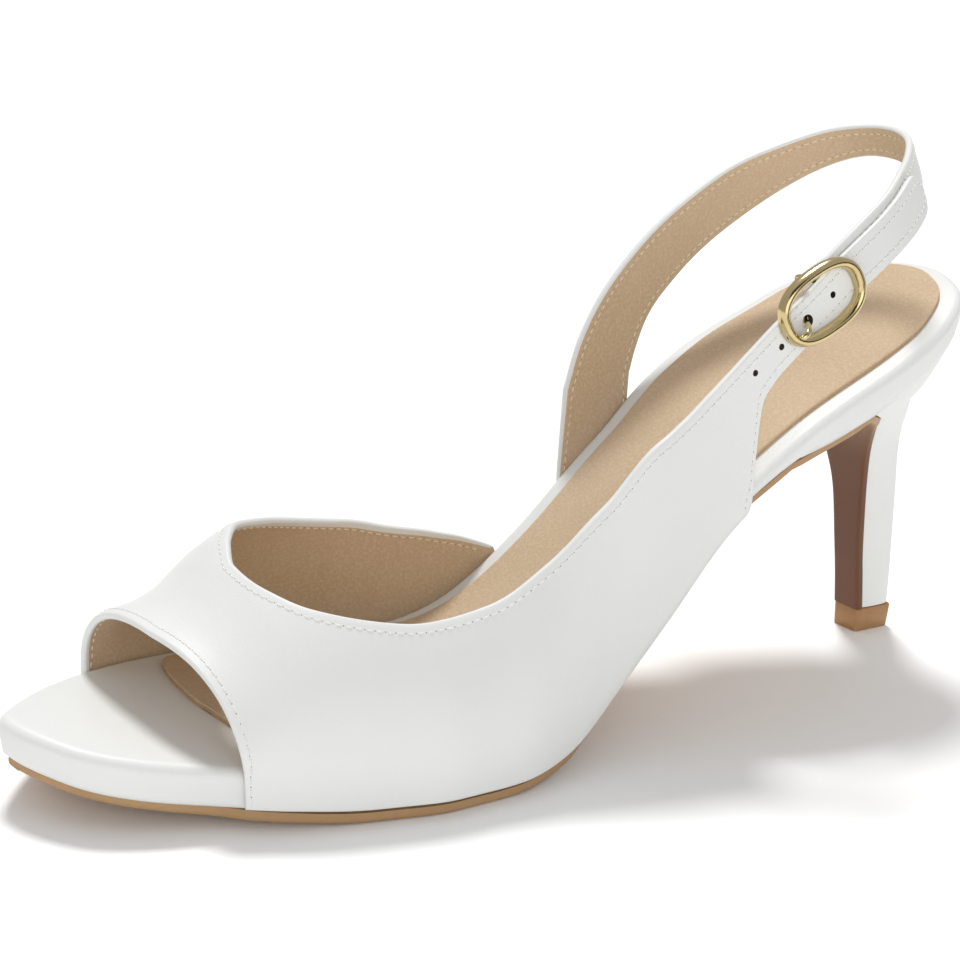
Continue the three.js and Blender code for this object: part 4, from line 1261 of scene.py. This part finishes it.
# Buckle. An oval frame of pale gold plated metal with a dropped bar that the sling's
# end is turned round, and a round prong that lies on the frame through a hole.
RING_LENGTH = 22.8
RING_WIDTH = 15.4
RING_BAND = 2.3
RING_HEIGHT = 2.2
BAR_LENGTH = 12.8
BAR_DROP = 0.55
RING_RAISE = 0.3
RING_AHEAD = 0.6
RING_TURN = -0.17
RING_SQUARENESS = 2.5
RING_STEPS = 120
WIRE_SIDES = 20
BAR_DEPTH = SLING_THICKNESS + CLEARANCE + BAR_RADIUS
RING_SEAT = HOLED_LAYER + CLEARANCE
RING_SECTION = [
    # out, up
    [-0.5, 0],
    [-0.5, 0.4],
    [-0.45, 0.6],
    [-0.36, 0.78],
    [-0.25, 0.92],
    [-0.12, 1],
    [0.12, 1],
    [0.25, 0.92],
    [0.36, 0.78],
    [0.45, 0.6],
    [0.5, 0.4],
    [0.5, 0],
]

gold = Finish("pale_gold", Metallic=1.0)
tarnish = gold.noise(180, 4)
gold.set("Base Color", gold.blend(tarnish, colour(196, 174, 124), colour(220, 202, 156)))
gold.set("Roughness", 0.12 + gold.noise(400, 3) * 0.08)
gold.bump(gold.noise(1400, 3), 0.03, 0.0001)
pale_gold = gold.material


def power(value, reach):
    return math.copysign(reach * abs(value) ** (2 / RING_SQUARENESS), value)


ring_a, ring_b = RING_LENGTH / 2 - RING_BAND / 2, RING_WIDTH / 2 - RING_BAND / 2
ring_loops = []
for i in range(RING_STEPS):
    angle = 2 * math.pi * i / RING_STEPS
    x, y = power(math.cos(angle), ring_a), power(math.sin(angle), ring_b)
    slope = RING_SQUARENESS - 1
    outward = Vector((
        math.copysign((abs(x) / ring_a) ** slope / ring_a, x),
        math.copysign((abs(y) / ring_b) ** slope / ring_b, y),
    )).normalized()
    loop = []
    for out, up in RING_SECTION:
        px, py = x + outward.x * out * RING_BAND, y + outward.y * out * RING_BAND
        t = px * math.cos(RING_TURN) - py * math.sin(RING_TURN) - RING_AHEAD
        w = px * math.sin(RING_TURN) + py * math.cos(RING_TURN) + RING_RAISE
        loop.append(at_buckle(t, w, RING_SEAT + up * RING_HEIGHT))
    ring_loops.append(loop)


def wire_loops(points, radius, steps=8, tip=None):
    """Loops of a round wire through points in the buckle's frame. tip thins its last stretch."""
    places = [Vector(point) for point in points]
    count = steps * (len(points) - 1)
    loops = []
    for i in range(count + 1):
        share = i / count
        point = smooth_line(places, share)
        ahead, behind = smooth_line(places, min(share + 1e-3, 1)), smooth_line(places, max(share - 1e-3, 0))
        way = (ahead - behind).normalized()
        runs_across = abs(way.y) > 0.5 or points[0][0] == points[-1][0]
        first = Vector((1, 0, 0)) if runs_across else Vector((0, 1, 0))
        second = way.cross(first).normalized()
        size = radius
        if tip and share > 1 - tip:
            size = radius * math.sqrt(max(0.02, 1 - ((share - 1 + tip) / tip) ** 2))
        loop = []
        for k in range(WIRE_SIDES):
            turn = 2 * math.pi * k / WIRE_SIDES
            p = point + first * (size * math.cos(turn)) + second * (size * math.sin(turn))
            loop.append(at_buckle(*p))
        loops.append(loop)
    return loops


bend = 2 * BAR_RADIUS
bar_end = BAR_LENGTH / 2
half_bar = [
    (bar_end, RING_SEAT + RING_HEIGHT / 2),
    (bar_end, bend - BAR_DEPTH),
    (bar_end - 0.25 * bend, 0.25 * bend - BAR_DEPTH),
    (bar_end - bend, -BAR_DEPTH),
    (bar_end - 2 * bend, -BAR_DEPTH),
]
bar_points = [(0, w - BAR_DROP, n) for w, n in half_bar] + [(0, -BAR_DROP, -BAR_DEPTH)]
bar_points += [(0, -BAR_DROP - w, n) for w, n in half_bar[::-1]]


def skins(*parts):
    """Several closed skins as the points and faces of one piece."""
    points, faces = [], []
    for part_points, part_faces, _ in parts:
        base = len(points)
        points += part_points
        faces += [tuple(base + corner for corner in face) for face in part_faces]
    return points, faces


bar_loops = wire_loops(bar_points, BAR_RADIUS)
buckle = piece_from("buckle_ring", *skins(loft(ring_loops, True), loft(bar_loops)), [pale_gold], sharp=40)
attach(buckle, "root")
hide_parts("buckle_frame")

eye_radius = BAR_RADIUS + CLEARANCE + PRONG_RADIUS
eye_loops = []
for i in range(32):
    angle = 2 * math.pi * i / 32
    loop = []
    for k in range(WIRE_SIDES):
        turn = 2 * math.pi * k / WIRE_SIDES
        r = eye_radius + PRONG_RADIUS * math.cos(turn)
        across = PRONG_RADIUS * math.sin(turn) - HOLED_STRAP_DROP
        loop.append(at_buckle(r * math.cos(angle), across, r * math.sin(angle) - BAR_DEPTH))
    eye_loops.append(loop)
over = RING_SEAT + RING_HEIGHT + CLEARANCE + PRONG_RADIUS
ring_end = RING_LENGTH / 2
prong_points = [
    (0, 0, eye_radius - BAR_DEPTH),
    (-2.6, 0, -PRONG_RADIUS),
    (-PRONG_HOLE_PLACE + 1.2, 0, 0.3 - PRONG_RADIUS),
    (-PRONG_HOLE_PLACE, 0, HOLED_LAYER / 2),
    (-PRONG_HOLE_PLACE - 1, 0, HOLED_LAYER + 1),
    (-ring_end + RING_BAND + 0.6, 0, over),
    (-ring_end + 0.9, 0, over),
]
prong_points = [(t, w - HOLED_STRAP_DROP, n) for t, w, n in prong_points]
prong_loops = wire_loops(prong_points, PRONG_RADIUS, 8, 0.08)
prong = piece_from("buckle_pin", *skins(loft(eye_loops, True), loft(prong_loops)), [pale_gold], sharp=40)
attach(prong, "root")
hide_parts("buckle_prong")

# Stage. A plain near-white paper floor under an even sky, a distant soft light from
# above the far side, so the shadow falls towards the near side, and a wide fill.
FLOOR_HALF = 6
BUCKLE_AT = Vector((0.03, 0.086, 0.092))
SQUARE = ((-1, -1), (1, -1), (1, 1), (-1, 1))

paper = Finish("studio_paper", Specular_IOR_Level=0.1, Roughness=0.95)
paper.set("Base Color", paper.blend(paper.noise(3, 2), colour(252, 252, 252), colour(255, 255, 255)))
floor_mesh = bpy.data.meshes.new("studio_floor")
floor_mesh.from_pydata([(x * FLOOR_HALF, y * FLOOR_HALF, 0) for x, y in SQUARE], [], [(0, 1, 2, 3)])
floor_mesh.materials.append(paper.material)
floor = bpy.data.objects.new("studio_floor", floor_mesh)
bpy.context.scene.collection.objects.link(floor)

world = bpy.data.worlds.new("studio")
bpy.context.scene.world = world
world.use_nodes = True
sky = world.node_tree.nodes["Background"].inputs
sky["Color"].default_value = (1, 1, 1, 1)
sky["Strength"].default_value = 0.5
bpy.context.scene.view_settings.view_transform = "Standard"


def far_light(name, towards, spread, strength):
    """A distant soft light. towards points from the shoe to the light."""
    lamp = bpy.data.lights.new(name, "SUN")
    lamp.angle = math.radians(spread)
    lamp.energy = strength
    light = bpy.data.objects.new(name, lamp)
    light.rotation_euler = Vector(towards).to_track_quat("Z", "Y").to_euler()
    bpy.context.scene.collection.objects.link(light)


far_light("key", (-0.42, 0.16, 0.9), 14, 2.3)
far_light("front", (0.85, -0.45, 0.2), 60, 1.1)

# Dark cards that only mirrors see give the plated buckle its dark bands
card_shade = Finish("dark_card", Roughness=1.0)
patch = card_shade.noise(5, 1)
card_shade.set("Base Color", card_shade.blend(patch, colour(18, 17, 15), colour(24, 22, 20)))
for name, centre, width, height in (
    ("upper_card", (0.22, -0.05, 0.416), 0.34, 0.2),
    ("lower_card", (0.42, 0.1, 0.03), 0.14, 0.08),
    ("side_card", (0.37, 0.3, 0.12), 0.16, 0.16),
):
    middle = Vector(centre)
    facing = (BUCKLE_AT - middle).to_track_quat("Z", "Y").to_matrix()
    corners = [middle + facing @ Vector((x * width / 2, y * height / 2, 0)) for x, y in SQUARE]
    card_mesh = bpy.data.meshes.new(name)
    card_mesh.from_pydata(corners, [], [(0, 1, 2, 3)])
    card_mesh.materials.append(card_shade.material)
    card = bpy.data.objects.new(name, card_mesh)
    card.visible_camera = False
    card.visible_diffuse = False
    card.visible_shadow = False
    card.visible_transmission = False
    bpy.context.scene.collection.objects.link(card)

# Camera. It stands at the photograph's angle to the shoe, a little rolled, with the
# lens that was fitted to the shoe's outline in the photograph.
CAMERA_PLACE = Vector((0.315103, -0.210834, 0.168391))
CAMERA_ANGLES = (53.409, 16.518, 3.934)

camera = bpy.data.cameras.new("camera")
camera.sensor_width = 36
camera.lens = 73.942
camera.clip_start = 0.01
azimuth, elevation, roll = [math.radians(angle) for angle in CAMERA_ANGLES]
backwards = Vector((
    math.sin(azimuth) * math.cos(elevation),
    -math.cos(azimuth) * math.cos(elevation),
    math.sin(elevation),
))
level_right = Vector((0, 0, 1)).cross(backwards).normalized()
level_up = backwards.cross(level_right)
right = level_right * math.cos(roll) + level_up * math.sin(roll)
upward = level_up * math.cos(roll) - level_right * math.sin(roll)
viewer = bpy.data.objects.new("camera", camera)
pose = Matrix((right, upward, backwards)).transposed().to_4x4()
pose.translation = CAMERA_PLACE
viewer.matrix_world = pose
bpy.context.scene.collection.objects.link(viewer)
bpy.context.scene.camera = viewer
